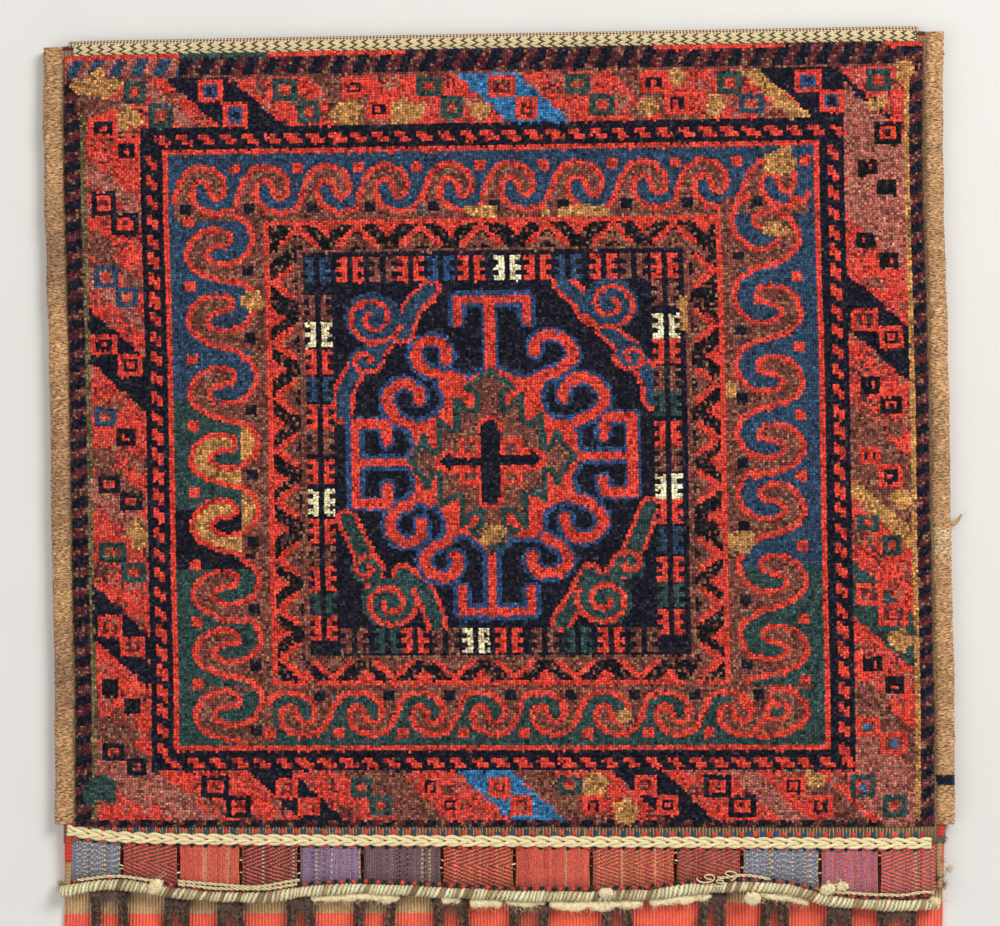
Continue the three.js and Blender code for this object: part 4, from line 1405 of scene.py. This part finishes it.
def loop_line(place, count):
    """The middle line of one closure loop, as the CAD model has it."""
    x, spread, lean = place
    route = np.array(LOOP_ROUTE, float)
    sideways, away = route.T
    opened = spread * np.sign(sideways) * np.maximum(0, 1 - away / LOOP_BEND)
    start = mouth_y(float(x)) - LOOP_START
    points = np.column_stack([x + sideways + opened + lean * away / LOOP_BEND, start - away,
                              np.full(len(route), LOOP_Z)])
    return spline(points, count)


def build_loop(letter, number, sizes):
    """One loop: three strands of goat hair plaited flat. Each strand swings from side to side along a
    sine, and up and down along a sine of half the period, a third of a period after its neighbour."""
    rng = np.random.default_rng([6, POUCHES.index(letter), number])
    line = loop_line(LOOPS[number], 96)
    along = lengths_along(line)
    forward = np.gradient(line, axis=0)
    forward /= np.linalg.norm(forward, axis=1, keepdims=True)
    side = np.cross((0, 0, 1), forward)
    weave = Weave()
    period = rng.uniform(15, 18)
    strand = LOOP * 0.30
    for i in range(3):
        turn = 2 * math.pi * (along / period + i / 3)
        swing = LOOP * 0.29 * np.sin(turn)
        rise = LOOP * 0.14 * np.sin(2 * turn)
        path = line + side * swing[:, None] + np.outer(rise, (0, 0, 1))
        radius = strand * (1 + 0.12 * rng.normal(size=(len(path), 5)))
        points, faces, yarns = tube(path, radius, 5)
        # Painted shade: each strand turns lighter and darker along the plait, where the strands cross.
        shade = (0.75 + 0.35 * np.sin(turn + 1.2)) * rng.normal(1, 0.12, len(path))
        light = end_caps(np.repeat(shade[:, None], 5, axis=1)[..., None])
        weave.add(points, faces, np.clip(dye("dark_goat") * light * rng.uniform(0.8, 1.25), 0, 1), yarns)
    piece = weave.make(f"loop_{letter}_{number + 1:02d}", letter, finish_of("goat"), "dark_goat_hair")
    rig.replaces(piece, f"closure_loop_{letter}_{number + 1:02d}")
    turned = 1 if letter == "a" else -1
    path = line * (turned, turned, 1) * MM
    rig.cord(piece, exit=path[0], length=along[-1] * MM, diameter=LOOP * MM, far_end="object",
            stiffness="limp", lay="loose", path=path)
    return piece


def build_loop_hairs(letter, sizes):
    """The fuzz on the loops, and the tangled head of hair where each is sewn to the roll."""
    rng = draws(7, letter)
    weave = Weave()
    for place in LOOPS:
        line = loop_line(place, 80)
        count = sizes.loop_hairs
        at = rng.integers(0, 79, count)
        turn = rng.uniform(-0.2, math.pi + 0.2, count)
        forward = np.gradient(line, axis=0)[at]
        forward /= np.linalg.norm(forward, axis=1, keepdims=True)
        side = np.cross((0, 0, 1), forward)
        out = side * np.cos(turn)[:, None] + np.outer(np.sin(turn), (0, 0, 1))
        ways = out + forward * rng.normal(0, 1.1, (count, 1))
        shades = dye("dark_goat") * rng.uniform(0.3, 2.8, (count, 1))
        hairs(weave, line[at] + out * (LOOP / 2 + 0.1), ways, rng.uniform(2.2, 5.0, count), 0.17,
              np.clip(shades, 0, 1), rng)
        # The head: a lumpy flattened tube across the two legs.
        x, spread, _ = place
        half = 8.0 + spread
        across = np.linspace(-half, half, 14)
        y = mouth_y(float(x)) - LOOP_START - 0.5 - 3.0 * (across / half) ** 2
        path = np.column_stack([x + across, y, np.full(len(across), LOOP_Z + 0.3)])
        bulge = 4.4 * np.sqrt(np.clip(1.12 - (across / half) ** 2, 0, 1))[:, None]
        radius = bulge * (1 + 0.12 * rng.normal(size=(14, 8)))
        points, faces, yarns = tube(path, radius, 8, 0.8)
        weave.add(points, faces, mottled(dye("dark_goat"), len(points), 0.45, rng), yarns)
        roots = path[rng.integers(1, 13, 140)] + rng.normal(0, 1.5, (140, 3)) + (0, -1.0, 2)
        roots[:, 1] -= rng.exponential(4.0, 140)
        ways = rng.normal(size=(140, 3)) * (1, 1, 0.4) + (0, -0.5, 0.2)
        shades = dye("dark_goat") * rng.uniform(0.3, 2.8, (140, 1))
        hairs(weave, roots, ways, rng.uniform(3, 7.5, 140), 0.17, np.clip(shades, 0, 1), rng)
    return weave.make(f"loop_hairs_{letter}", letter, finish_of("loose"), "dark_goat_hair")


# Each closure tab: its two dyes and how its ribs change between them.
TABS = (
    ("slate", "ivory", "flecked"), ("maroon", "rose", "chevron"), ("coral", "rose", "plain"),
    ("navy", "rose", "chevron"), ("violet", "slate", "flecked"), ("plum", "navy", "flecked"),
    ("coral", "maroon", "chevron"), ("coral", "rose", "plain"), ("coral", "brown", "chevron"),
    ("maroon", "rose", "chevron"), ("slate", "ivory", "flecked"), ("violet", "rose", "chevron"),
    ("plum", "coral", "chevron"),
)


def build_tabs(letter, sizes):
    """The closure strip between mouth and pile: a tab between each two slits, each a row of round ribs.

    A rib's yarn coordinate grows by 1 for each change of dye. In a chevron it starts later the nearer
    the rib is to the tab's left, and runs both ways from the tab's middle.
    """
    rng = draws(8, letter)
    rib = sizes.rib_spacing / MM
    edges = (-299, *SLITS, 303)
    weave, second = Weave(), []
    for (first, other, kind), left, right in zip(TABS, edges, edges[1:]):
        left, right = left + SLIT_WIDTH * 0.5, right - SLIT_WIDTH * 0.5
        count = max(3, round((right - left) / rib))
        shift = rng.uniform(0, 1)
        for i, x in enumerate(np.linspace(left + rib / 2, right - rib / 2, count)):
            low = mouth_y(x) + ROLL / 2 - 0.6 + rng.normal(0, 0.35)
            y = np.linspace(low, TAB_TOP_Y, 7)
            inward = np.sign((left + right) / 2 - x) * np.exp(-min(i, count - 1 - i) / 1.2)
            sag = 0.7 * np.sin(math.pi * (y - low) / (TAB_TOP_Y - low))
            path = np.column_stack([x + inward * sag + rng.normal(0, 0.08, 7), y,
                                    front_z(x) - 0.7 - 0.9 * np.abs(inward) + 0.25 * sag])
            points, faces, yarns = tube(path, rib * 0.60, 6, 0.85)
            middle = (low + TAB_TOP_Y) / 2
            stroke = 2.6
            if kind == "chevron":
                turns = (np.abs(points[:, 1] - middle) - 0.36 * (x - left)) / stroke
            elif kind == "plain":
                turns = points[:, 1] / 1.5 + 0.5 * (i % 2)
            else:
                turns = points[:, 1] / rng.uniform(2.2, 4.5) + rng.uniform(0, 1)
            base = dye(first) * rng.normal(1, 0.12)
            mark = dye(other) * rng.normal(1, 0.12)
            if kind == "flecked":
                mark = mark * 0.25 + base * 0.75 if rng.random() < 0.8 else mark * 0.6
            if rng.random() < 0.06:
                mark = dye("ivory") * 0.5 + mark * 0.3
            # The pale warp shows along a rib's sides, and the tab's lower end lies in shade.
            showing = np.append(np.tile([0, 0, 0.3, 0, 0.3, 0], len(path)), [0, 0])[:, None]
            pale = showing * rng.uniform(0.2, 1.4)
            light = 0.45 + 0.5 * np.clip((points[:, 1:2] - low) / 10, 0, 1)
            warp = dye("tan") * 1.2
            weave.add(points, faces, np.clip((base * (1 - pale) + warp * pale) * light, 0, 1),
                      np.column_stack([yarns[:, 1], turns + shift]))
            second.append(np.clip((mark * (1 - pale) + warp * pale) * light, 0, 1))
    piece = weave.make(f"closure_tabs_{letter}", letter, finish_of("twined"), "kilim_wool")
    corners = np.concatenate([face.ravel() for face in weave.faces])
    paint(piece.data, "second_dye", np.vstack(second)[corners])
    return piece


def plied(weave, line, hand, colours, rng, pitch, radius, sides=6, steps_a_turn=12):
    """A cord of strands that turn round each other: each runs on a flattened helix about the line.

    pitch is the length of one turn, radius a strand's own and the helix's, and hand which way it turns.
    """
    along = lengths_along(line)
    line = spaced(line, int(along[-1] / pitch * steps_a_turn))
    along = lengths_along(line)
    forward = np.gradient(line, axis=0)
    forward /= np.linalg.norm(forward, axis=1, keepdims=True)
    side = np.cross((0, 0, 1), forward)
    side /= np.linalg.norm(side, axis=1, keepdims=True)
    up = np.cross(forward, side)
    for i, colour in enumerate(colours):
        turn = hand * 2 * math.pi * along / pitch + 2 * math.pi * i / len(colours)
        path = line + radius * (side * np.cos(turn)[:, None] + up * np.sin(turn)[:, None] * 0.7)
        points, faces, yarns = tube(path, radius * rng.normal(1, 0.05, len(path)), sides)
        weave.add(points, faces, mottled(colour, len(points), 0.07, rng), yarns)


def closure_twining_y(x):
    """The twined rows' line: level, but for a rise at the left edge."""
    return TWINING_Y + 6 * np.exp(-(x + 302) / 28) - 0.006 * x


def build_closure_twining(letter, sizes):
    """Two rows of ivory twining that turn opposite ways, so that their stitches meet in chevrons."""
    rng = draws(9, letter)
    weave = Weave()
    x = np.linspace(-299, 298, 200)
    for offset, hand in ((1.7, 1), (-1.7, -1)):
        y = closure_twining_y(x) + offset
        line = np.column_stack([x, y, front_z(x - middle_x(y)) + 1.1])
        plied(weave, line, hand, (dye("ivory") * 1.12, dye("ivory")), rng, pitch=20.5, radius=1.25)
    piece = weave.make(f"twined_rows_{letter}", letter, finish_of("yarn"), "ivory_wool")
    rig.replaces(piece, f"closure_twining_{letter}")
    return piece


def build_stitches(letter, sizes):
    """Small stitches: red and blue in turn above and below the twining, along the tabs' lower edges, and
    the bare warp ends between the twining and the pile, with a few ivory stitches across each slit."""
    rng = draws(10, letter)
    weave = Weave()

    def row(x, y, z, size, names, chosen):
        """A row of stitches at points, each of one of the named dyes."""
        colours = mottled(np.array([dye(name) for name in names])[chosen], len(x), 0.15, rng)
        centres = np.column_stack([x, y, z]) + rng.normal(0, 0.2, (len(x), 3))
        spans = np.array(size) * rng.normal(1, 0.12, (len(x), 3))
        beads(weave, centres, spans, rng.normal(0, 0.25, len(x)), colours)

    x = np.arange(-294, 294, 4.8)
    above, below = closure_twining_y(x) + 5.9, closure_twining_y(x) - 4.4
    row(x, above, front_z(x) + 0.5, (1.9, 2.3, 0.9), ("red", "blue"), np.arange(len(x)) % 2)
    row(x, below, front_z(x) + 0.3, (1.7, 1.5, 0.9), ("red", "navy"), np.arange(len(x)) % 2)
    x = np.arange(-294, 298, 4.2)
    lowest = mouth_y(x) + ROLL / 2 + 0.9
    row(x, lowest, front_z(x) + 0.2, (1.6, 1.6, 1.0), ("red", "navy"), np.arange(len(x)) % 2)
    slits = np.repeat(SLITS, 3) + rng.normal(0, 0.3, 3 * len(SLITS))
    row(slits, rng.uniform(141, 160, len(slits)), front_z(slits) - 0.4, (1.5, 0.5, 0.5), ("ivory", "olive"),
        rng.integers(0, 2, len(slits)))
    warps = np.arange(-290, 292, 2.3)
    for x in warps + rng.normal(0, 0.25, len(warps)):
        y = np.linspace(closure_twining_y(x) + 3.2, PILE_BOTTOM + rng.uniform(-0.5, 2.5), 4)
        path = np.column_stack([x + rng.normal(0, 0.15, 4), y, front_z(x) + np.array([0.2, 0.5, 0.7, 1.2])])
        points, faces, yarns = tube(path, 0.42, 4)
        weave.add(points, faces, mottled(dye("tan") * 1.1, len(points), 0.15, rng), yarns)
    return weave.make(f"closure_stitches_{letter}", letter, finish_of("yarn"), "kilim_wool")


def build_mouth_roll(letter, sizes):
    """The overcast roll: a bar along the mouth, ribbed where ivory yarn is wrapped round it at a slant."""
    rng = draws(11, letter)
    count, sides, rib = 860, 10, 2.9
    x = np.linspace(-ROLL_HALF, ROLL_HALF, 400)
    line = np.column_stack([x, mouth_y(x), ROLL_Z + 0 * x])
    line[:, 1] += 0.5 * ripple(x, 0 * x, 40, rng)
    path = spaced(line, count)
    along = lengths_along(path)[:, None]
    turn = -math.pi / 2 + np.arange(sides)[None] * 2 * math.pi / sides
    wrap = along / rib + 0.35 * np.sin(along / 9) + 0.2 * np.sin(along / 2.9) + turn / (2 * math.pi) * 2.6
    swell = np.abs(np.sin(math.pi * wrap)) ** 0.8
    size = ROLL / 2 * (0.88 + 0.10 * ripple(along, 0 * along, 26, rng))
    radius = size * (0.82 + 0.18 * swell + 0.05 * rng.normal(size=(count, sides)))
    points, faces, yarns = tube(path, radius, sides, 0.96)
    which = (np.abs(wrap).astype(int) + 3) % 997
    shade = rng.normal(1, 0.16, 1000)[which] * np.exp(rng.normal(0, 0.12, which.shape))
    dirty = 1.04 + 0.14 * ripple(along, 0 * along, 38, rng)
    wool = np.where((rng.random(1000) < 0.14)[which][..., None], dye("tan") * 0.85, dye("ivory") * 1.12)
    # In the grooves between the wraps the roll shows olive, painted darker at 0.55 as shade.
    share = np.clip((swell - 0.42) / 0.4, 0, 1)[..., None]
    colours = (dye("olive") * 0.55 * (1 - share) + wool * share) * (shade * dirty)[..., None]
    weave = Weave()
    weave.add(points, faces, np.clip(end_caps(colours), 0, 1), yarns)
    piece = weave.make(f"overcast_roll_{letter}", letter, finish_of("yarn"), "ivory_wool")
    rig.replaces(piece, f"mouth_roll_{letter}")
    return piece


# Each chain's start, end and distance above the mouth. Each curly end's place, radius and turns.
CHAINS = ((-222, -138, 8.2), (-222, -140, 6.4), (226, 300, 7.6), (-292, -232, 6.2), (150, 186, 7.2))
CURLY_ENDS = ((141, 139, 5.5, 1.3), (149, 136, 4.2, 1.1), (156, 141, 6.5, 0.8), (228, 136, 4, 0.9))


def build_mouth_chain(letter, sizes):
    """Thin ivory chains that run above the roll for part of the mouth, and curly ends that come loose."""
    rng = draws(12, letter)
    weave = Weave()
    for start, end, off in CHAINS:
        x = np.linspace(start, end, 60)
        y = mouth_y(x) + off + 0.8 * ripple(x, 0 * x, 35, rng)
        line = np.column_stack([x, y, front_z(x) + 1.2])
        strands = (dye("ivory"), dye("ivory") * 0.8)
        plied(weave, line, 1, strands, rng, pitch=7.5, radius=0.62, sides=5, steps_a_turn=8)
    for x, y, size, turns in CURLY_ENDS:
        share = np.linspace(0, 1, 40)
        turn = share * turns * 2 * math.pi + x
        reach = size * (1 - 0.35 * share)
        out, up = reach * np.cos(turn) + 5 * share, reach * 0.5 * np.sin(turn) + 2 * share
        line = np.column_stack([x + out, y + up, FRONT_TOP + 1.4 + 1.2 * np.sin(turn) ** 2])
        points, faces, yarns = tube(line, 0.6, 5)
        weave.add(points, faces, mottled(dye("ivory") * 0.9, len(points), 0.1, rng), yarns)
    return weave.make(f"mouth_chain_{letter}", letter, finish_of("yarn"), "ivory_wool")


FLEECE = (
    (-131, -69, 3.6), (-41, -27, 3.0), (-21, 2, 3.8), (4, 32, 2.4), (34, 99, 4.2), (103, 147, 3.6),
    (171, 214, 3.2),
)
TUFTS = (
    (-238, 134, 5.5), (73, 129.5, 4.8), (174, 125.8, 5.5), (226, 132, 5.0), (236, 134, 4.0),
    (300, 124, 3.6),
)


def build_fleece(letter, sizes):
    """Unspun ivory fleece that bulges from under the roll, and tufts that stand out of it."""
    rng = draws(13, letter)
    weave = Weave()
    for start, end, size in FLEECE:
        count = int((end - start) / 1.3)
        x = np.linspace(start, end, count)
        path = np.column_stack([x, mouth_y(x) - ROLL / 2 - size * 0.35 + 0.8 * ripple(x, 0 * x, 17, rng),
                                9.4 + 0.8 * ripple(x, 0 * x, 23, rng)])
        taper = np.sqrt(np.clip(1.05 - np.abs(np.linspace(-1, 1, count)) ** 6, 0, 1))
        wave = 1 + 0.22 * ripple(x, 0 * x, 11, rng)
        radius = size * (taper * wave)[:, None] * (1 + 0.13 * rng.normal(size=(count, 12)))
        points, faces, yarns = tube(path, radius, 12, 0.8)
        weave.add(points, faces, mottled(dye("ivory"), len(points), 0.05, rng), yarns)
        many = int((end - start) * 2.2)
        roots = path[rng.integers(1, count - 1, many)] + rng.normal(0, 1.0, (many, 3)) + (0, -1.5, 0.8)
        ways = rng.normal(size=(many, 3)) * (1, 0.6, 0.4) + (0, -0.8, 0)
        lengths = rng.uniform(2.5, 6.5, many)
        hairs(weave, roots, ways, lengths, 0.13, mottled(dye("ivory"), many, 0.1, rng), rng)
    for x, y, size in TUFTS:
        share = np.linspace(-1, 1, 16)
        tilt = rng.uniform(-0.6, 0.9)
        out = size * 1.1 * share
        path = np.column_stack([x + out * math.cos(tilt), y + out * math.sin(tilt), ROLL_Z + 2.4 + 0 * share])
        radius = size * 0.8 * np.sqrt(1.02 - share ** 2)[:, None] * (1 + 0.16 * rng.normal(size=(16, 12)))
        points, faces, yarns = tube(path, radius, 12, 0.75)
        weave.add(points, faces, mottled(dye("ivory") * 0.95, len(points), 0.08, rng), yarns)
        roots = path[rng.integers(2, 14, 60)] + rng.normal(0, 1.6, (60, 3))
        hairs(weave, roots, rng.normal(size=(60, 3)) + (0.3, 0.2, 0.2), rng.uniform(4, 9, 60), 0.14,
              mottled(dye("ivory"), 60, 0.1, rng), rng)
    return weave.make(f"fleece_{letter}", letter, finish_of("loose"), "ivory_wool")


def fold_surface(x, turn, lift):
    """A point on the fold: turn is 0 where the front ends and a quarter turn at the far edge."""
    centre = fold_y(x) - FOLD_RADIUS
    half = front_z(x) / 2
    return np.column_stack([middle_x(centre) + x, centre + (FOLD_RADIUS + lift) * np.sin(turn),
                            front_z(x) - half + (half + lift) * np.cos(turn)])


def build_fold_twining(letter, sizes):
    """The ivory twining over the fold: rows that turn opposite ways, each with a thin dark strand."""
    rng = draws(14, letter)
    weave = Weave()
    x = np.linspace(-290, 292, 160)
    # An angle round the fold for each row, and which way it turns.
    # The dark olive strand stands in as painted shade between the ivory stitches.
    strands = (dye("ivory"), dye("ivory") * 0.9, dye("olive") * 0.8)
    for turn, hand in ((-0.46, 1), (-0.22, -1), (0.02, 1), (0.26, -1)):
        line = fold_surface(x, turn + 0 * x, 0.6)
        plied(weave, line, hand, strands, rng, pitch=7.6, radius=0.76, sides=4, steps_a_turn=6)
    piece = weave.make(f"fold_twined_rows_{letter}", letter, finish_of("yarn"), "ivory_wool")
    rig.replaces(piece, f"fold_twining_{letter}")
    return piece


def build_fold_weave(letter, sizes):
    """The checked weave that shows beyond the twining, a thin strip round the edge of the fold."""
    x = np.linspace(-294, 294, 200)
    turns = np.linspace(0.34, 1.62, 9)
    top = np.stack([fold_surface(x, turn + 0 * x, 0.5) for turn in turns[::-1]])
    low = np.stack([fold_surface(x, turn + 0 * x, 0.05) for turn in turns[::-1]])
    rows, columns = top.shape[:2]
    across, along = np.meshgrid(x, turns * FOLD_YARN_RADIUS)
    yarns = np.column_stack([across.ravel(), along.ravel()])
    points = np.vstack([top.reshape(-1, 3), low.reshape(-1, 3)])
    faces = [face[:, ::-1] for face in shell(rows, columns)]
    weave = Weave()
    weave.add(points, faces, dye("maroon"), np.vstack([yarns] * 2))
    return weave.make(f"fold_checked_weave_{letter}", letter, finish_of("check"), "kilim_wool")


# Each overcast stretch: its side, start, end, dye and radius. Each loose end: its place, dye and size.
OVERCAST = (
    (-1, 150.5, 177, "red", 3.0), (-1, 131, 150, "tan", 2.6),
    (1, 168, 179, "red", 3.4), (1, 132, 164, "tan", 2.4),
)
LOOSE_ENDS = (
    (305, 166.5, "bright_blue", 3.0), (310, 145, "ivory", 3.2), (304, 152, "goat", 3),
    (303, 139, "brown", 3), (-303, 134, "goat", 3), (306, 134, "goat", 3.4),
)


def build_side_stitching(letter, sizes):
    """The closure strip's side edges, overcast in red and tan, with a few loose ends of yarn."""
    rng = draws(15, letter)
    weave = Weave()
    for side, start, end, name, size in OVERCAST:
        y = np.linspace(start, end, int((end - start) / 0.7))
        path = np.column_stack([middle_x(y) + side * 301.5 + 0.6 * ripple(y, 0 * y, 20, rng), y, 7.2 + 0 * y])
        wrap = np.abs(np.sin(math.pi * y / 2.4))[:, None]
        radius = size * (0.85 + 0.15 * wrap) * (1 + 0.05 * rng.normal(size=(len(y), 8)))
        points, faces, yarns = tube(path, radius, 8, 1.1)
        # Painted shade: each wrap is lighter on its crest and darker between wraps.
        light = np.concatenate([np.repeat(0.6 + 0.5 * wrap[:, 0], 8), [1, 1]])[:, None]
        weave.add(points, faces, np.clip(dye(name) * light, 0, 1), yarns)
    for x, y, name, size in LOOSE_ENDS:
        count = 45
        roots = np.array([x, y, 8.0]) + rng.normal(0, 1.0, (count, 3))
        ways = rng.normal(size=(count, 3)) * (0.6, 1, 0.4) + (math.copysign(1.0, x), 0, 0)
        lengths = rng.uniform(0.6, 1.5, count) * size
        hairs(weave, roots, ways, lengths, 0.3, mottled(dye(name), count, 0.15, rng), rng)
    if letter == "a":
        share = np.linspace(0, 1, 30)
        path = np.column_stack([306 + 14 * share, 380 + 9 * share + 2 * np.sin(share * 7), 9 - 4 * share])
        points, faces, yarns = tube(path, 1.5 * (1.1 - 0.5 * share), 7)
        weave.add(points, faces, mottled(dye("goat"), len(points), 0.15, rng), yarns)
    return weave.make(f"side_stitching_{letter}", letter, finish_of("yarn"), "kilim_wool")


def build_floor():
    """The floor: a plain grid of faces that the bag lies on."""
    reach = np.linspace(-40, 40, 9)
    x, y = np.meshgrid(reach, reach)
    points = np.stack([x, y, 0 * x - 0.2 * MM], axis=-1).reshape(-1, 3)
    mesh = bpy.data.meshes.new("studio_floor")
    mesh.from_pydata(points.tolist(), [], grid(9, 9).tolist())
    mesh.materials.append(finish_of("floor"))
    floor = bpy.data.objects.new("studio_floor", mesh)
    bpy.context.scene.collection.objects.link(floor)
    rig.stage(floor)


def build_light(name, place, target, size, power):
    """A square soft light at a place, turned to shine on a target."""
    lamp = bpy.data.lights.new(name, "AREA")
    lamp.shape = "SQUARE"
    lamp.size = size
    lamp.energy = power
    light = bpy.data.objects.new(name, lamp)
    light.location = place
    light.rotation_euler = (Vector(target) - Vector(place)).to_track_quat("-Z", "Y").to_euler()
    bpy.context.scene.collection.objects.link(light)


def build_camera():
    """A camera straight above the first pouch, high enough to see the whole of it and the closure."""
    lens, sensor, shown_width = 85.0, 36.0, 0.690
    camera = bpy.data.cameras.new("camera_above")
    camera.lens = lens
    camera.sensor_width = sensor
    camera.clip_end = 20
    above = bpy.data.objects.new("camera_above", camera)
    above.location = (0, 0.426, shown_width * lens / sensor + FRONT_TOP * MM)
    above.rotation_euler = Euler((0, 0, 0))
    bpy.context.scene.collection.objects.link(above)
    bpy.context.scene.camera = above


# ---- the add-on ----

class SaddleBagSizes(bpy.types.PropertyGroup):
    """The sizes that a maker would change."""

    pile_height: FloatProperty(name="Pile Height", description="How far the knots stand above the web",
                               default=3.9 * MM, min=2 * MM, max=4.6 * MM, unit="LENGTH", precision=4)
    rib_spacing: FloatProperty(name="Rib Spacing", description="Distance between the closure tabs' ribs",
                               default=1.75 * MM, min=1.5 * MM, max=4 * MM, unit="LENGTH", precision=4)
    binding_hairs: IntProperty(name="Binding Hairs", description="Hairs that stand out of each binding",
                               default=800, min=0, max=1500)
    loop_hairs: IntProperty(name="Loop Hairs", description="Hairs that stand out of each closure loop",
                            default=140, min=0, max=400)
    key_power: FloatProperty(name="Key Light", description="Power of the main light",
                             default=91.0, min=0, unit="POWER")
    fill_power: FloatProperty(name="Fill Light", description="Power of the light from the other side",
                              default=45.0, min=0, unit="POWER")


class SaddleBagDyes(bpy.types.PropertyGroup):
    """The dyes of the wool and hair, one colour each."""

    __annotations__ = {
        name: FloatVectorProperty(
            name=name.replace("_", " ").title(), description=f"The {name.replace('_', ' ')} yarns",
            subtype="COLOR", size=3, min=0, max=1, default=tuple(linear(code)),
        )
        for name, code in DYES.items()
    }


class SADDLEBAG_OT_stage(bpy.types.Operator):
    """Add the floor, two soft lights, the sky light and the camera"""

    bl_idname = "saddle_bag.stage"
    bl_label = "Stage"

    def execute(self, context):
        sizes = context.scene.saddle_bag_sizes
        build_camera()
        build_floor()
        build_light("key_light", (1.71, 2.06, 2.34), (0, 0.35, 0), 1.44, sizes.key_power)
        build_light("fill_light", (-2.34, -0.64, 2.7), (0, 0.35, 0), 2.88, sizes.fill_power)
        world = bpy.data.worlds.new("studio")
        world.use_nodes = True
        background = world.node_tree.nodes["Background"]
        background.inputs["Color"].default_value = (1.0, 0.99, 0.97, 1)
        background.inputs["Strength"].default_value = 0.45
        context.scene.world = world
        context.scene.view_settings.view_transform = "Standard"
        return {"FINISHED"}


class SADDLEBAG_OT_web(bpy.types.Operator):
    """Add the woven web: the bridge, and the backs and fronts of both pouches"""

    bl_idname = "saddle_bag.web"
    bl_label = "Woven Web"

    def execute(self, context):
        on_it = [o for o in bpy.data.objects if o.name.startswith(("pile_", "closure_tabs_", "twined_rows_"))]
        web = build_web(context.scene.saddle_bag_sizes)
        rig.sheet(web, flat=(2 * WEB_HALF * MM, 2.61), held="folded", with_pieces=on_it)
        return {"FINISHED"}


def pouch_operator(name, label, about, build):
    """An operator that makes one kind of piece on both pouches."""

    def execute(self, context):
        for letter in POUCHES:
            build(letter, context.scene.saddle_bag_sizes)
        return {"FINISHED"}

    return type(f"SADDLEBAG_OT_{name}", (bpy.types.Operator,), {
        "__doc__": about, "bl_idname": f"saddle_bag.{name}", "bl_label": label, "execute": execute,
    })


def both_bindings(letter, sizes):
    """The bindings of one pouch, left and right, and their hairs."""
    for side in (-1, 1):
        build_binding(letter, side, sizes)
    build_binding_hairs(letter, sizes)


def all_loops(letter, sizes):
    """The closure loops of one pouch and their hairs."""
    for number in range(len(LOOPS)):
        build_loop(letter, number, sizes)
    build_loop_hairs(letter, sizes)


PIECES = (
    ("loops", "Closure Loops", "Add the plaited goat hair closure loops", all_loops),
    ("pile", "Knotted Pile", "Add the knotted pile fronts", build_pile),
    ("tabs", "Closure Tabs", "Add the closure strip's woven tabs", build_tabs),
    ("twining", "Twined Rows", "Add the ivory twining by the closure", build_closure_twining),
    ("stitches", "Stitches", "Add the closure strip's small stitches", build_stitches),
    ("mouth_rolls", "Mouth Rolls", "Add the overcast rolls along the mouths", build_mouth_roll),
    ("mouth_chains", "Mouth Chains", "Add the thin chains above the rolls", build_mouth_chain),
    ("fleece", "Fleece", "Add the unspun fleece and tufts at the mouths", build_fleece),
    ("bindings", "Side Bindings", "Add the goat hair side bindings", both_bindings),
    ("fold_twining", "Fold Twining", "Add the twined rows over the folds", build_fold_twining),
    ("fold_weave", "Fold Weave", "Add the checked weave beyond them", build_fold_weave),
    ("side_stitching", "Side Stitching", "Add the stitched side edges by the closure", build_side_stitching),
)
OPERATORS = (SADDLEBAG_OT_stage, *(pouch_operator(*piece) for piece in PIECES), SADDLEBAG_OT_web)


class SADDLEBAG_PT_panel(bpy.types.Panel):
    """The bag's sizes, its dyes and a button for each kind of piece"""

    bl_idname = "SADDLEBAG_PT_panel"
    bl_label = "Saddle Bag"
    bl_space_type = "VIEW_3D"
    bl_region_type = "UI"
    bl_category = "Saddle Bag"

    def draw(self, context):
        for owner in (context.scene.saddle_bag_sizes, context.scene.saddle_bag_dyes):
            column = self.layout.column()
            for name in owner.bl_rna.properties.keys():
                if name not in ("rna_type", "name"):
                    column.prop(owner, name)
        for operator in OPERATORS:
            self.layout.operator(operator.bl_idname)


CLASSES = (SaddleBagSizes, SaddleBagDyes, *OPERATORS, SADDLEBAG_PT_panel)


def register():
    """Registers the classes and hangs the two groups of properties on the scene."""
    for each in CLASSES:
        bpy.utils.register_class(each)
    bpy.types.Scene.saddle_bag_sizes = PointerProperty(type=SaddleBagSizes)
    bpy.types.Scene.saddle_bag_dyes = PointerProperty(type=SaddleBagDyes)


def unregister():
    """Undoes what register did."""
    del bpy.types.Scene.saddle_bag_dyes
    del bpy.types.Scene.saddle_bag_sizes
    for each in reversed(CLASSES):
        bpy.utils.unregister_class(each)


def main():
    """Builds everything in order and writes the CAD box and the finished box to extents.json."""
    register()
    for operator in OPERATORS:
        group, name = operator.bl_idname.split(".")
        getattr(getattr(bpy.ops, group), name)()
    boxes = {
        "cad": [[float(value) for value in corner] for corner in CAD_BOX],
        "visual": [[float(value) for value in corner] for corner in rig.bounds()],
    }
    with open("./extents.json", "w") as out:
        json.dump(boxes, out)


if __name__ == "__main__":
    main()
